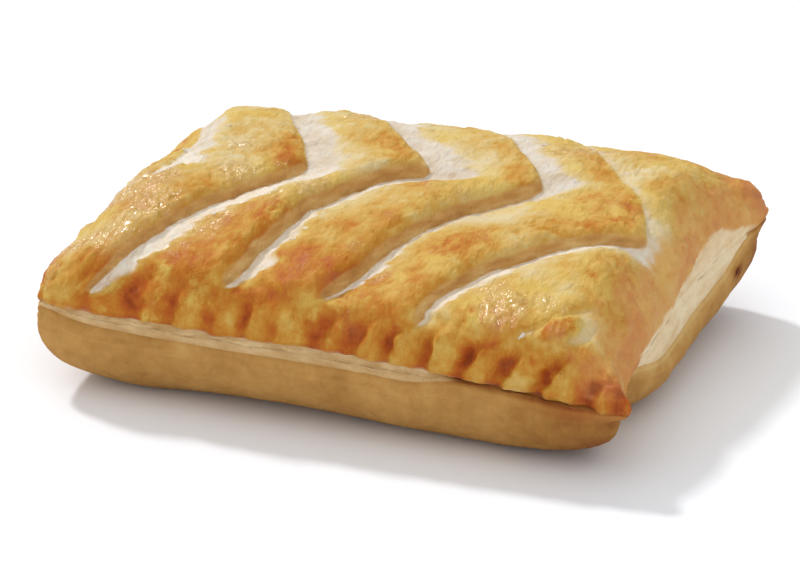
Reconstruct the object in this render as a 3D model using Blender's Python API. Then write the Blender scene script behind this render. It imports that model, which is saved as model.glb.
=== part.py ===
"""A rectangular glazed puff-pastry bake: one closed solid.

The pastry is a pillow of two crimped sheets. The top sheet is domed and cut
by chevron slits that opened in the oven, the long edges carry a row of crimp
dents, the edge of the sheets shows as a seam all round, and the lower sheet
bellies out and curves under to a flat base.

Lengths are in millimetres up to the last step, which writes metres. The
length runs along X, the width along Y, and the base lies on Z = 0.
"""

import bpy
import numpy as np
from mathutils import Vector, geometry

MM = 0.001

# Pillow
HALF_LENGTH = 63.0
HALF_WIDTH = 49.0
RIM_HEIGHT = {"front_left": 21.2, "front_right": 17.2, "back_left": 19.8, "back_right": 23.0}
EDGE_RISE = {"front_left": 2.4, "front_right": 1.6, "back_left": 3.0, "back_right": 5.0}
EDGE_ROLL = 4.0
CORNER_REACH = {"front_left": -2.4, "front_right": 0.0, "back_left": 0.0, "back_right": 5.0}
CROWN_LEFT = 19.0
CROWN_RIGHT = 18.2
CROWN_CHANGE = (-0.67, 1.0)
RISE_LEFT = 20.0
RISE_RIGHT = 15.0
RISE_FRONT = 34.0
RISE_BACK = 36.0
SHOULDER_POWER = 2.6
FRONT_WALL = 6.0
FRONT_WALL_SHARE = 0.45
FRONT_POWER = 1.8
CORNER_ROUND = {"front_left": 0.03, "front_right": 0.0, "back_left": 0.05, "back_right": 0.05}
CORNER_SHARPNESS = 14.0
CORNER_WIDTH_SHARE = 1.2

# Corner ears of the top sheet: how far the tip is pushed in x, y and z, and how local it is
EAR_FRONT_RIGHT = (3.6, 0.6, 0.8)
EAR_BACK_RIGHT = (2.6, 0.0, 0.8)
EAR_SHARPNESS = 8.0
WALL_EAR_SHARE = 0.85

# Chevron slits on the sheet laid flat. A pair holds the value of a slit's front
# arm and that of its back arm. An arm runs back from the apex by its hook, which is
# used up over the hook length, then by its sweep, which grows along the arm. The two
# "ends" are those of the slit across the sheet.
SLITS = (
    {"apex": -49.0, "centre": -10.0, "sweeps": (0.08, 0.25), "growths": (0.001, 0.001),
     "hooks": (0.0, 0.0), "hook_lengths": (8.0, 8.0), "depths": (0.3, 0.9), "ends": (-20.0, 50.0)},
    {"apex": -22.0, "centre": 2.0, "sweeps": (0.46, 0.62), "growths": (0.0012, 0.001),
     "hooks": (1.5, 0.0), "hook_lengths": (6.0, 8.0), "depths": (2.4, 0.8), "ends": (-55.8, 50.0)},
    {"apex": 2.6, "centre": 8.8, "sweeps": (0.234, 0.84), "growths": (0.0, 0.001),
     "hooks": (11.3, 2.9), "hook_lengths": (6.0, 6.0), "depths": (3.2, 0.9), "ends": (-50.0, 50.0)},
    {"apex": 29.0, "centre": 9.0, "sweeps": (0.356, 0.84), "growths": (0.0, 0.001),
     "hooks": (9.4, 1.6), "hook_lengths": (10.0, 6.0), "depths": (2.9, 0.8), "ends": (-49.4, 50.0)},
    {"apex": 58.7, "centre": -3.5, "sweeps": (0.121, 0.82), "growths": (0.0, 0.001),
     "hooks": (37.2, 0.0), "hook_lengths": (20.0, 8.0), "depths": (2.4, 0.5), "ends": (-51.0, 50.0)},
    {"apex": 86.0, "centre": -1.0, "sweeps": (0.94, 0.80), "growths": (0.001, 0.001),
     "hooks": (0.0, 0.0), "hook_lengths": (8.0, 8.0), "depths": (0.7, 0.3), "ends": (-53.5, -29.0)},
)
SLIT_NOSE = 2.5
SLIT_TURN = 5.0
SLIT_END_FADE = (3.6, 9.0)
SLIT_SIDE_FADE = (1.0, 6.0)
SLIT_ROLL = (4.0, 4.0)
SLIT_FLOOR = (0.5, 1.5)
SLIT_SLOPE = (14.0, 9.0)
SLOPE_POWER = 1.3
BACK_FADE = 0.55
BACK_FADE_FROM = 8.0
BACK_FADE_LENGTH = 30.0
STRIP_PUFF = 0.36
STRIP_PUFF_REACH = 11.0

# Crimp dents along the two long edges: middle, half width, depth and reach up the edge
FRONT_CRIMPS = (
    (-52.2, 1.6, 0.4, 4.6), (-41.2, 2.9, 0.8, 9.6), (-32.7, 1.8, 0.8, 8.4), (-24.2, 2.0, 0.5, 5.6),
    (-16.4, 1.5, 0.8, 9.0), (-9.8, 1.7, 0.4, 5.2), (0.5, 3.0, 1.2, 9.2), (8.9, 2.3, 1.1, 8.0),
    (16.6, 1.5, 1.3, 8.2), (24.4, 1.7, 1.5, 9.6), (33.6, 1.6, 1.4, 9.0), (41.4, 2.0, 1.7, 8.4),
    (50.0, 1.5, 1.6, 9.6), (58.4, 1.7, 1.3, 7.0),
)
BACK_CRIMP_COUNT = 14
BACK_CRIMP_FIRST = -52.0
BACK_CRIMP_PITCH = 8.4
BACK_CRIMP_STRAY = 0.8
BACK_CRIMP_HALF_WIDTHS = (1.2, 2.3)
BACK_CRIMP_DEPTHS = (0.9, 2.2)
BACK_CRIMP_REACHES = (5.0, 8.6)
CRIMP_SEED = 8
CRIMP_LEAN = 0.22
CRIMP_LEAN_FROM = 3.0
CRIMP_LEAN_TURN = 2.3
CRIMP_STEEP = (0.8, 2.4)
CRIMP_GENTLE = (1.15, 2.0)
CRIMP_FULL_SHARE = 0.5
CRIMP_AT_RIM = (0.65, 2.2)
CRIMP_DEPTH_SHARE = 1.15
CRIMP_RIDGE = 1.1
CRIMP_BAND = (3.0, 6.0)
CRIMP_END_FADE = 0.06

# Slow unevenness of hand-made dough: height and the four numbers of each wave
WAVES = (
    (0.30, 1 / 5.3, 1 / 8.0, 1.3),
    (0.20, 1 / 3.9, -1 / 4.6, 4.0),
)
CROSSED_WAVE = (0.45, 9.0, 0.8, 11.0, 2.1)
WAVE_EDGE_FADE = 8.0

# Broad swells and hollows of the crown: along, across, length, width and height
SWELLS = ((12.0, 32.0, 26.0, 13.0, 1.5), (-55.0, 6.0, 5.0, 13.0, -1.8))

# Side wall
SHEET_EDGE = 0.9
EDGE_TUCK = 0.15
SEAM_RECESS = 0.3
SEAM_MIDDLE_SHARE = 0.45
LIP_TUCK = 0.1
LIP_HEIGHT = 1.3
WALL_CORNER = {"front_left": 0.015, "front_right": 0.05, "back_left": 0.05, "back_right": 0.04}
WALL_REACH = {"front_left": -0.6, "front_right": 0.0, "back_left": 0.0, "back_right": 4.4}
BELLY_REACH = {"front_left": -0.3, "front_right": 0.0, "back_left": 0.0, "back_right": 2.0}
BELLY_BULGE = 1.1
BELLY_LEAST_DROP = 2.0
BASE_INSET = 14.0
BASE_CORNER = {"front_left": 0.06, "front_right": 0.16, "back_left": 0.12, "back_right": 0.14}
BASE_CORNER_SHARPNESS = 8.0
BASE_REACH = {"front_left": 1.0, "front_right": 0.0, "back_left": 0.0, "back_right": -3.0}
BASE_TURN_HEIGHT = 0.70
BASE_TURN_ANGLES = (0.0, 28.0, 50.0, 72.0, 90.0)

# The layered strip in the seam: its heights, and the u or v from which it fades in to full
SEAM_LEAST = 0.5
SEAM_STRIP = 2.4
SEAM_STRIP_RIGHT = 6.2
SEAM_REST_SHARE = 0.7
SEAM_FRONT_V = (-0.9, -1.0)
SEAM_FRONT_U = (0.45, 0.15)
SEAM_RIGHT_U = (0.9, 1.0)
SEAM_RIGHT_FRONT_V = (-0.82, -0.42)
SEAM_RIGHT_BACK_V = (0.9, 0.7)
SEAM_NARROW_V = (-0.1, 0.7)
SEAM_NARROWING = 0.45
SEAM_LEFT_U = (-0.8, -1.0)
SEAM_BACK_V = (0.8, 1.0)
SEAM_LOW_LEFT = (7.0, 0.8)

# Spacing of the mesh
EDGE_STEP = 2.3
RIM_GAP = (0.9, 2.8)
FILL_STEP = 3.1
FILL_ROW_SHARE = 0.866
FILL_END_GAP = 1.5
FILL_CLEARANCE = 2.0
SLIT_STEP = 2.6
SLIT_FINE_STEP = 0.1
SLIT_MARGIN = (2.5, 1.8)
SLIT_END_GAP = 2.0
SLOPE_STATIONS = (1.8, 5.0)
ROLL_STATIONS = (-1.0, -0.45, -0.12, 0.0)
CRIMP_ROWS = (1.6, 3.6, 6.0, 8.6)
CRIMP_ROW_GAP = 1.2
NORMAL_NUDGE = 2e-3
NORMAL_LIMIT = 0.985


def smooth_step(x):
    x = np.clip(x, 0.0, 1.0)
    return x * x * (3.0 - 2.0 * x)


def fade_in(x, limits):
    """0 before the first limit, 1 after the second, whichever way round they lie."""
    return smooth_step((x - limits[0]) / (limits[1] - limits[0]))


def rise(distance, reach, power=SHOULDER_POWER):
    """Rounded shoulder: 0 at the rim, 1 from `reach` inwards."""
    inward = np.clip(distance / reach, 0.0, 1.0)
    return 1.0 - (1.0 - inward) ** power


def front_rise(distance):
    """The front climbs in two parts: a short steep wall, then a long easy slope."""
    wall = rise(distance, FRONT_WALL)
    slope = rise(distance, RISE_FRONT, FRONT_POWER)
    return FRONT_WALL_SHARE * wall + (1 - FRONT_WALL_SHARE) * slope


def by_corner(values, u, v):
    """Blend the four corner values over the rectangle."""
    right = 0.5 + 0.5 * u
    back = 0.5 + 0.5 * v
    front_side = values["front_left"] * (1 - right) + values["front_right"] * right
    back_side = values["back_left"] * (1 - right) + values["back_right"] * right
    return front_side * (1 - back) + back_side * back


def rounded_plan(u, v, inset, rounding, sharpness, reach):
    """A rectangle with its corners drawn in and shifted in x, over u, v in -1..1."""
    corner = by_corner(rounding, u, v)
    x = (HALF_LENGTH - inset) * u * (1 - corner * np.abs(v) ** sharpness)
    y = (HALF_WIDTH - inset) * v * (1 - CORNER_WIDTH_SHARE * corner * np.abs(u) ** sharpness)
    x = x + by_corner(reach, u, v) * np.abs(u) ** 3 * np.abs(v) ** 1.5
    return x, y


def corner_ears(u, v):
    """How far the two right-hand corners are drawn out, in x, y and z."""
    front = (np.clip(u, 0, 1) * np.clip(-v, 0, 1)) ** EAR_SHARPNESS
    back = (np.clip(u, 0, 1) * np.clip(v, 0, 1)) ** EAR_SHARPNESS
    return front[..., None] * np.array(EAR_FRONT_RIGHT) + back[..., None] * np.array(EAR_BACK_RIGHT)


def pillow(u, v):
    """The sheet before slits and crimps: plan position u, v in -1..1 to x, y, z."""
    x, y = rounded_plan(u, v, 0.0, CORNER_ROUND, CORNER_SHARPNESS, CORNER_REACH)
    from_left = (1 + u) * HALF_LENGTH
    from_right = (1 - u) * HALF_LENGTH
    from_front = (1 + v) * HALF_WIDTH
    from_back = (1 - v) * HALF_WIDTH
    edge = rise(from_left, EDGE_ROLL) * rise(from_right, EDGE_ROLL)
    edge = edge * rise(from_front, EDGE_ROLL) * rise(from_back, EDGE_ROLL)
    edge = edge * by_corner(EDGE_RISE, u, v)
    crown = CROWN_LEFT + (CROWN_RIGHT - CROWN_LEFT) * fade_in(u, CROWN_CHANGE)
    shoulder = rise(from_left, RISE_LEFT) * rise(from_right, RISE_RIGHT)
    shoulder = shoulder * front_rise(from_front) * rise(from_back, RISE_BACK)
    z = by_corner(RIM_HEIGHT, u, v) + edge + (crown - edge) * shoulder
    push = corner_ears(u, v)
    return np.stack([x + push[..., 0], y + push[..., 1], z + push[..., 2]], axis=-1)


def arc_table(points):
    """Distance along a polyline, measured from its middle."""
    steps = np.linalg.norm(np.diff(points, axis=0), axis=1)
    length = np.concatenate([[0.0], np.cumsum(steps)])
    return length - length[len(length) // 2]


# The sheet laid flat: r runs along the length and s across the width, both
# measured over the dome, so that points spread evenly on the steep shoulders.
TABLE = np.linspace(-1.0, 1.0, 801)
FLAT_R = arc_table(pillow(TABLE, np.zeros_like(TABLE)))
FLAT_S = arc_table(pillow(np.zeros_like(TABLE), TABLE))


def from_flat(r, s):
    return np.interp(r, FLAT_R, TABLE), np.interp(s, FLAT_S, TABLE)


def from_long_edges(s):
    return np.minimum(s - FLAT_S[0], FLAT_S[-1] - s)


def from_ends(r):
    return np.minimum(r - FLAT_R[0], FLAT_R[-1] - r)


def between(pair, blend):
    return pair[0] + (pair[1] - pair[0]) * blend


def arm_blend(s, slit):
    """0 on a slit's front arm, 1 on its back arm."""
    return smooth_step(0.5 + 0.5 * (s - slit["centre"]) / SLIT_TURN)


def slit_depth(s, slit):
    """Depth of a slit at s: its front or back depth, shallower towards the far edge."""
    fade = 1 - BACK_FADE * smooth_step((s - BACK_FADE_FROM) / BACK_FADE_LENGTH)
    return between(slit["depths"], arm_blend(s, slit)) * fade


def slit_line(s, slit):
    """Where a slit crosses the sheet at s, and how much its arm leans there."""
    reach = np.sqrt((s - slit["centre"]) ** 2 + SLIT_NOSE**2) - SLIT_NOSE
    arm = arm_blend(s, slit)
    sweep = between(slit["sweeps"], arm)
    growth = between(slit["growths"], arm)
    hook = between(slit["hooks"], arm)
    length = between(slit["hook_lengths"], arm)
    faded = np.exp(-reach / length)
    line = slit["apex"] - hook * (1 - faded) - sweep * reach - growth * reach**2
    slope = hook / length * faded + sweep + 2 * growth * reach
    return line, np.cos(np.arctan(slope))


def slit_strength(r, s, slit):
    """1 along a slit, fading out at both its ends and at the ends of the sheet."""
    front = smooth_step((s - slit["ends"][0]) / SLIT_END_FADE[0])
    back = smooth_step((slit["ends"][1] - s) / SLIT_END_FADE[1])
    return front * back * smooth_step((from_ends(r) - SLIT_SIDE_FADE[0]) / SLIT_SIDE_FADE[1])


def slit_profile(across, depth, arm):
    """Height over the sheet: a rolled wall down, a floor, then a long slope to the next strip."""
    crest = STRIP_PUFF * depth
    roll_width = between(SLIT_ROLL, arm)
    puff = crest * (1 - smooth_step((-across - roll_width) / STRIP_PUFF_REACH))
    roll = np.clip(1 + across / roll_width, 0.0, 1.0)
    rolled = puff - (crest + depth) * (1 - np.sqrt(1 - roll**2))
    slope = np.clip((across - between(SLIT_FLOOR, arm)) / between(SLIT_SLOPE, arm), 0.0, 1.0)
    return np.where(across < 0, rolled, -depth * (1 - slope) ** SLOPE_POWER)


def slit_height(r, s):
    height = np.zeros_like(r)
    for slit in SLITS:
        line, lean = slit_line(s, slit)
        profile = slit_profile((r - line) * lean, slit_depth(s, slit), arm_blend(s, slit))
        height = height + profile * slit_strength(r, s, slit)
    return height


def draw_back_crimps():
    """The dents of the back edge, drawn at random round an even pitch."""
    draw = np.random.default_rng(CRIMP_SEED)
    crimps = []
    for number in range(BACK_CRIMP_COUNT):
        middle = BACK_CRIMP_FIRST + BACK_CRIMP_PITCH * number + draw.normal(0, BACK_CRIMP_STRAY)
        half_width = draw.uniform(*BACK_CRIMP_HALF_WIDTHS)
        depth = draw.uniform(*BACK_CRIMP_DEPTHS)
        crimps.append((middle, half_width, depth, draw.uniform(*BACK_CRIMP_REACHES)))
    return crimps


BACK_CRIMPS = draw_back_crimps()


def crimp_dents(x, from_edge, crimps):
    """0 away from the dents, up to a dent's depth in its middle. A dent leans and has one steep side."""
    total = np.zeros_like(x)
    for middle, half_width, depth, reach in crimps:
        lean = CRIMP_LEAN * (1 + np.sin(CRIMP_LEAN_TURN * middle))
        side = (x - middle - lean * (from_edge - CRIMP_LEAN_FROM)) / half_width
        steep = np.exp(-(np.abs(side / CRIMP_STEEP[0]) ** CRIMP_STEEP[1]))
        gentle = np.exp(-(np.abs(side / CRIMP_GENTLE[0]) ** CRIMP_GENTLE[1]))
        band = fade_in(from_edge, (reach, CRIMP_FULL_SHARE * reach))
        at_rim = CRIMP_AT_RIM[0] + (1 - CRIMP_AT_RIM[0]) * smooth_step(from_edge / CRIMP_AT_RIM[1])
        total = np.maximum(total, depth * np.where(side > 0, steep, gentle) * band * at_rim)
    return total


def crimp_height(u, s):
    """Dents pressed into both long edges, with a raised band round them."""
    x = HALF_LENGTH * u
    dents = crimp_dents(x, s - FLAT_S[0], FRONT_CRIMPS) + crimp_dents(x, FLAT_S[-1] - s, BACK_CRIMPS)
    band = smooth_step(1.0 - (from_long_edges(s) - CRIMP_BAND[0]) / CRIMP_BAND[1])
    lift = CRIMP_RIDGE * band - CRIMP_DEPTH_SHARE * dents
    return lift * smooth_step((1.0 - np.abs(u)) / CRIMP_END_FADE)


def unevenness(r, s):
    """Gentle rises and hollows of hand-made dough."""
    height, length_r, phase_r, length_s, phase_s = CROSSED_WAVE
    wave = height * np.sin(r / length_r + phase_r) * np.sin(s / length_s + phase_s)
    for height, turn_r, turn_s, phase in WAVES:
        wave = wave + height * np.sin(r * turn_r + s * turn_s + phase)
    for along, across, length, width, height in SWELLS:
        wave = wave + height * np.exp(-(((r - along) / length) ** 2) - ((s - across) / width) ** 2)
    return wave * smooth_step(np.minimum(from_long_edges(s), from_ends(r)) / WAVE_EDGE_FADE)


def outward(u, v):
    """Unit normal of the pillow, from differences of nearby points."""
    along = pillow(u + NORMAL_NUDGE, v) - pillow(u - NORMAL_NUDGE, v)
    across = pillow(u, v + NORMAL_NUDGE) - pillow(u, v - NORMAL_NUDGE)
    normal = np.cross(along, across)
    return normal / np.linalg.norm(normal, axis=-1, keepdims=True)


def top_surface(r, s):
    """The top crust with slits and crimps raised or sunk along the normal."""
    u, v = from_flat(r, s)
    lift = slit_height(r, s) + crimp_height(u, s) + unevenness(r, s)
    inside = np.clip(u, -NORMAL_LIMIT, NORMAL_LIMIT), np.clip(v, -NORMAL_LIMIT, NORMAL_LIMIT)
    return pillow(u, v) + outward(*inside) * lift[..., None]


def edge_stations(table, length_wanted):
    count = int(round((table[-1] - table[0]) / length_wanted))
    return np.linspace(table[0], table[-1], count + 1)


def crimp_stations(crimps):
    """Stations along a long edge: the middle, the flanks and the ridges of each dent."""
    middles = np.array([crimp[0] for crimp in crimps])
    halves = np.array([crimp[1] for crimp in crimps])
    ridges = (middles[1:] + middles[:-1]) / 2
    wanted = np.sort(np.concatenate([middles, middles - halves, middles + halves, ridges]))
    kept = [-HALF_LENGTH]
    for x in [*wanted[np.abs(wanted) < HALF_LENGTH - RIM_GAP[0]], HALF_LENGTH]:
        gap = x - kept[-1]
        if gap >= RIM_GAP[0] or x == HALF_LENGTH:
            parts = int(np.ceil(gap / RIM_GAP[1]))
            kept += [x - gap * part / parts for part in range(parts - 1, -1, -1)]
    return np.interp(np.array(kept) / HALF_LENGTH, TABLE, FLAT_R)


def rim_loop():
    """The rim in flat coordinates, once round anticlockwise from the front left."""
    front_edge = crimp_stations(FRONT_CRIMPS)
    back_edge = crimp_stations(BACK_CRIMPS)
    short_edge = edge_stations(FLAT_S, EDGE_STEP)
    front = [(r, FLAT_S[0]) for r in front_edge[:-1]]
    right = [(FLAT_R[-1], s) for s in short_edge[:-1]]
    back = [(r, FLAT_S[-1]) for r in back_edge[:0:-1]]
    left = [(FLAT_R[0], s) for s in short_edge[:0:-1]]
    return np.array(front + right + back + left)


def crimp_rows():
    """Rows of points just inside the long edges, under the rim stations."""
    front = crimp_stations(FRONT_CRIMPS)[1:-1]
    back = crimp_stations(BACK_CRIMPS)[1:-1]
    rows = []
    for inset in CRIMP_ROWS:
        rows.append(np.stack([front, np.full_like(front, FLAT_S[0] + inset)], axis=1))
        rows.append(np.stack([back, np.full_like(back, FLAT_S[-1] - inset)], axis=1))
    return np.concatenate(rows)


def slit_lines():
    """Lines of points along each slit: over the roll, at its foot and up the slope."""
    last_row = CRIMP_ROWS[-1] + CRIMP_ROW_GAP
    lines = []
    for slit in SLITS:
        first = max(slit["ends"][0] + SLIT_END_GAP, FLAT_S[0] + last_row)
        fine = np.arange(first, min(slit["ends"][1], FLAT_S[-1] - last_row), SLIT_FINE_STEP)
        along = np.cumsum(SLIT_FINE_STEP / slit_line(fine, slit)[1])
        s = np.interp(np.arange(along[0], along[-1], SLIT_STEP), along, fine)
        line, lean = slit_line(s, slit)
        arm = arm_blend(s, slit)
        offsets = [share * between(SLIT_ROLL, arm) for share in ROLL_STATIONS]
        offsets += [between(SLIT_FLOOR, arm) + step for step in SLOPE_STATIONS]
        for across in offsets:
            r = line + across / lean
            inside = (r > FLAT_R[0] + SLIT_MARGIN[0]) & (r < FLAT_R[-1] - SLIT_MARGIN[1])
            for piece in np.split(np.arange(len(s)), np.nonzero(np.diff(inside.astype(int)))[0] + 1):
                if inside[piece[0]] and len(piece) > 1:
                    lines.append(np.stack([r[piece], s[piece]], axis=1))
    return lines


def thin_out(points, kept, spacing):
    """Leave out the points that come nearer than `spacing` to a kept one."""
    left = []
    for point in points:
        gap = np.abs(kept - point).max(axis=1)
        near = kept[gap < spacing]
        if len(near) == 0 or np.linalg.norm(near - point, axis=1).min() >= spacing:
            left.append(point)
    return np.array(left).reshape(-1, 2)


def fill_points():
    """A hexagonal grid over the sheet."""
    rows = np.arange(FLAT_S[0] + FILL_STEP, FLAT_S[-1] - FILL_STEP / 2, FILL_STEP * FILL_ROW_SHARE)
    points = []
    for number, s in enumerate(rows):
        shift = FILL_STEP / 2 * (number % 2)
        for r in np.arange(FLAT_R[0] + FILL_STEP + shift, FLAT_R[-1] - FILL_END_GAP, FILL_STEP):
            points.append((r, s))
    return np.array(points)


def sheet_mesh(loop):
    """Triangulate the flat sheet, with the rim loop as the first points."""
    count = len(loop)
    kept_edges = [(index, (index + 1) % count) for index in range(count)]
    flat = np.concatenate([loop, crimp_rows()])
    for line in slit_lines():
        first = len(flat)
        flat = np.concatenate([flat, line])
        kept_edges += [(index, index + 1) for index in range(first, len(flat) - 1)]
    flat = np.concatenate([flat, thin_out(fill_points(), flat, FILL_CLEARANCE)])
    points = [Vector(point) for point in flat]
    result = geometry.delaunay_2d_cdt(points, kept_edges, [], 1, 1e-5)
    order = [min(origin) for origin in result[3]]
    faces = [[order[index] for index in face] for face in result[2]]
    return flat, faces


def side_strip(u, v):
    """Height of the layered strip that shows under the crust, all round the rim."""
    on_front = fade_in(v, SEAM_FRONT_V) * fade_in(u, SEAM_FRONT_U)
    elsewhere = SEAM_REST_SHARE * (fade_in(u, SEAM_LEFT_U) + fade_in(v, SEAM_BACK_V))
    radius, share = SEAM_LOW_LEFT
    low_left = np.exp(-(((1 + u) * HALF_LENGTH / radius) ** 2) - ((1 + v) * HALF_WIDTH / radius) ** 2)
    front_and_rest = SEAM_STRIP * np.clip(on_front + elsewhere, 0.0, 1.0) * (1 - share * low_left)
    on_right = fade_in(u, SEAM_RIGHT_U) * fade_in(v, SEAM_RIGHT_FRONT_V) * fade_in(v, SEAM_RIGHT_BACK_V)
    on_right = on_right * (1 - SEAM_NARROWING * fade_in(v, SEAM_NARROW_V))
    return SEAM_LEAST + np.maximum(front_and_rest, SEAM_STRIP_RIGHT * on_right)


def loop_normals(plan):
    """Horizontal unit normals of a closed loop, pointing out."""
    along = np.roll(plan, -1, axis=0) - np.roll(plan, 1, axis=0)
    normal = np.stack([along[:, 1], -along[:, 0]], axis=1)
    return normal / np.linalg.norm(normal, axis=1, keepdims=True)


def side_layers(loop, rim):
    """Rings of points from just under the rim down to the flat base."""
    u, v = from_flat(loop[:, 0], loop[:, 1])
    wall = np.stack(rounded_plan(u, v, 0.0, WALL_CORNER, CORNER_SHARPNESS, WALL_REACH), axis=-1)
    wall = wall + WALL_EAR_SHARE * corner_ears(u, v)[:, :2]
    belly = np.stack(rounded_plan(u, v, 0.0, WALL_CORNER, CORNER_SHARPNESS, BELLY_REACH), axis=-1)
    base = np.stack(rounded_plan(u, v, BASE_INSET, BASE_CORNER, BASE_CORNER_SHARPNESS, BASE_REACH), axis=-1)
    normal = loop_normals(wall)
    belly = belly + BELLY_BULGE * normal
    strip = side_strip(u, v)[:, None]
    height = by_corner(RIM_HEIGHT, u, v)[:, None]
    lip = height - SHEET_EDGE - strip - LIP_HEIGHT
    turn = np.minimum(height * BASE_TURN_HEIGHT, lip - BELLY_LEAST_DROP)
    rings = [
        np.hstack([rim[:, :2] - EDGE_TUCK * normal, rim[:, 2:] - SHEET_EDGE]),
        np.hstack([wall - SEAM_RECESS * normal, height - SHEET_EDGE - SEAM_MIDDLE_SHARE * strip]),
        np.hstack([wall - SEAM_RECESS * normal, height - SHEET_EDGE - strip]),
        np.hstack([wall - LIP_TUCK * normal, lip]),
    ]
    for angle in np.radians(BASE_TURN_ANGLES):
        inset = 1 - np.cos(angle)
        ring = np.hstack([belly * (1 - inset) + base * inset, turn * (1 - np.sin(angle))])
        rings.append(ring)
    return rings


def build_shell():
    """All points and faces of the closed pastry."""
    loop = rim_loop()
    flat, faces = sheet_mesh(loop)
    points = top_surface(flat[:, 0], flat[:, 1])
    count = len(loop)
    rings = side_layers(loop, points[:count])
    above = np.arange(count)
    start = len(points)
    for layer in rings:
        below = np.arange(start, start + count)
        for index in range(count):
            after = (index + 1) % count
            faces.append([below[index], below[after], above[after], above[index]])
        points = np.concatenate([points, layer])
        above = below
        start += count
    centre = len(points)
    points = np.concatenate([points, [[0.0, 0.0, 0.0]]])
    for index in range(count):
        faces.append([centre, above[(index + 1) % count], above[index]])
    middle = (points.max(axis=0) + points.min(axis=0)) / 2
    points = points - [middle[0], middle[1], 0.0]
    return points, faces


def clear_scene():
    for item in list(bpy.data.objects):
        bpy.data.objects.remove(item, do_unlink=True)


def crust_material():
    material = bpy.data.materials.new("glazed_crust")
    material.use_nodes = True
    shader = material.node_tree.nodes["Principled BSDF"]
    shader.inputs["Base Color"].default_value = (0.58, 0.30, 0.09, 1.0)
    shader.inputs["Roughness"].default_value = 0.45
    return material


def main():
    clear_scene()
    points, faces = build_shell()
    mesh = bpy.data.meshes.new("pastry")
    mesh.from_pydata((points * MM).tolist(), [], [[int(i) for i in face] for face in faces])
    mesh.validate()
    mesh.update()
    pastry = bpy.data.objects.new("pastry", mesh)
    bpy.context.scene.collection.objects.link(pastry)
    mesh.materials.append(crust_material())
    mesh.shade_smooth()
    mesh.set_sharp_from_angle(angle=np.radians(50.0))


main()
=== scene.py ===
# %% [markdown]
# # A rectangular puff-pastry bake
# The real thing is two sheets of puff pastry round a filling, crimped together along the
# long edges, slashed in chevrons, brushed with egg and baked. The upper sheet domes up and
# browns, the slits open and show pale layered dough, and the lower sheet bellies out below
# the seam. The lesson builds one skin for all of this, colours it with a procedural
# material, and adds thin leaves and torn shreds with Geometry Nodes.
#
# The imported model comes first. It is the fixed frame: every piece is made to fit its box.

import math

import bpy
import numpy as np
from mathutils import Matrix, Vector


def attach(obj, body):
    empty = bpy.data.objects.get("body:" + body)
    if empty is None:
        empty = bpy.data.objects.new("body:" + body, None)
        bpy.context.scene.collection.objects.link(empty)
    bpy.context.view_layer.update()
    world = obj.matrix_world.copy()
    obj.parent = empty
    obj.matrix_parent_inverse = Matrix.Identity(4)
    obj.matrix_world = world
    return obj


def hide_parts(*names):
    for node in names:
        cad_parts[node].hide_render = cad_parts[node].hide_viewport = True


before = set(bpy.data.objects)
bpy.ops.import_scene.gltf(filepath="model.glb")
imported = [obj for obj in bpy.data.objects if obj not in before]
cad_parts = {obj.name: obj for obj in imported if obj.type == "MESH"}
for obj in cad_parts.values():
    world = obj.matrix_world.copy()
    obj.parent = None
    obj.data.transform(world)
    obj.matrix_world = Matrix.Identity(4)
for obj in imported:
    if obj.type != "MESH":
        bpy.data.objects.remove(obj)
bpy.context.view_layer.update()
MM = 0.001

# %% [markdown]
# ## The pillow
# Before slits and crimps, the upper sheet is a plain pillow: a rectangle whose rim dips and
# rises from corner to corner, with a rounded shoulder up to a nearly flat crown. A
# subdivision surface could be pushed about by hand to get this, but a formula is easier to
# keep in step with the solid model, so the same named sizes are used in both. Everything
# is in millimetres until the mesh is made.

# %% Sizes of the pillow
HALF_LENGTH = 63.0
HALF_WIDTH = 49.0
RIM_HEIGHT = {"front_left": 21.2, "front_right": 17.2, "back_left": 19.8, "back_right": 23.0}
EDGE_RISE = {"front_left": 2.4, "front_right": 1.6, "back_left": 3.0, "back_right": 5.0}
CORNER_REACH = {"front_left": -2.4, "front_right": 0.0, "back_left": 0.0, "back_right": 5.0}
CORNER_ROUND = {"front_left": 0.03, "front_right": 0.0, "back_left": 0.05, "back_right": 0.05}
CORNER_SHARPNESS = 14.0
EDGE_ROLL = 4.0
CROWN_LEFT = 19.0
CROWN_RIGHT = 18.2
RISE_LEFT = 20.0
RISE_RIGHT = 15.0
RISE_FRONT = 34.0
RISE_BACK = 36.0
SHOULDER_POWER = 2.6
FRONT_WALL = 6.0
FRONT_WALL_SHARE = 0.45
FRONT_POWER = 1.8
EAR_FRONT_RIGHT = (5.4, 0.6, 1.6)
EAR_BACK_RIGHT = (2.6, 0.0, 0.8)
EAR_SHARPNESS = {"front": 7.0, "back": 8.0}
FRONT_BOW = {"middle": 0.2, "spread": 0.5, "height": 1.3, "reach": 10.0}
WALL_EAR_SHARE = 0.85


# %% Curves that ease, and values that change from corner to corner
def smooth_step(x):
    x = np.clip(x, 0.0, 1.0)
    return x * x * (3.0 - 2.0 * x)


def fade(x, at_zero, at_one):
    """0 up to `at_zero`, 1 from `at_one` on, and an easy curve between them."""
    return smooth_step((x - at_zero) / (at_one - at_zero))


def hump(x, middle, spread):
    """A smooth rise: 1 at the middle, a third of that one spread away."""
    return np.exp(-(((x - middle) / spread) ** 2))


def rise(distance, reach, power=SHOULDER_POWER):
    """Rounded shoulder: 0 at the rim, 1 from `reach` inwards."""
    inward = np.clip(distance / reach, 0.0, 1.0)
    return 1.0 - (1.0 - inward) ** power


def front_rise(distance):
    """The front climbs in two parts: a short steep wall, then a long easy slope."""
    wall = rise(distance, FRONT_WALL)
    slope = rise(distance, RISE_FRONT, FRONT_POWER)
    return FRONT_WALL_SHARE * wall + (1 - FRONT_WALL_SHARE) * slope


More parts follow.
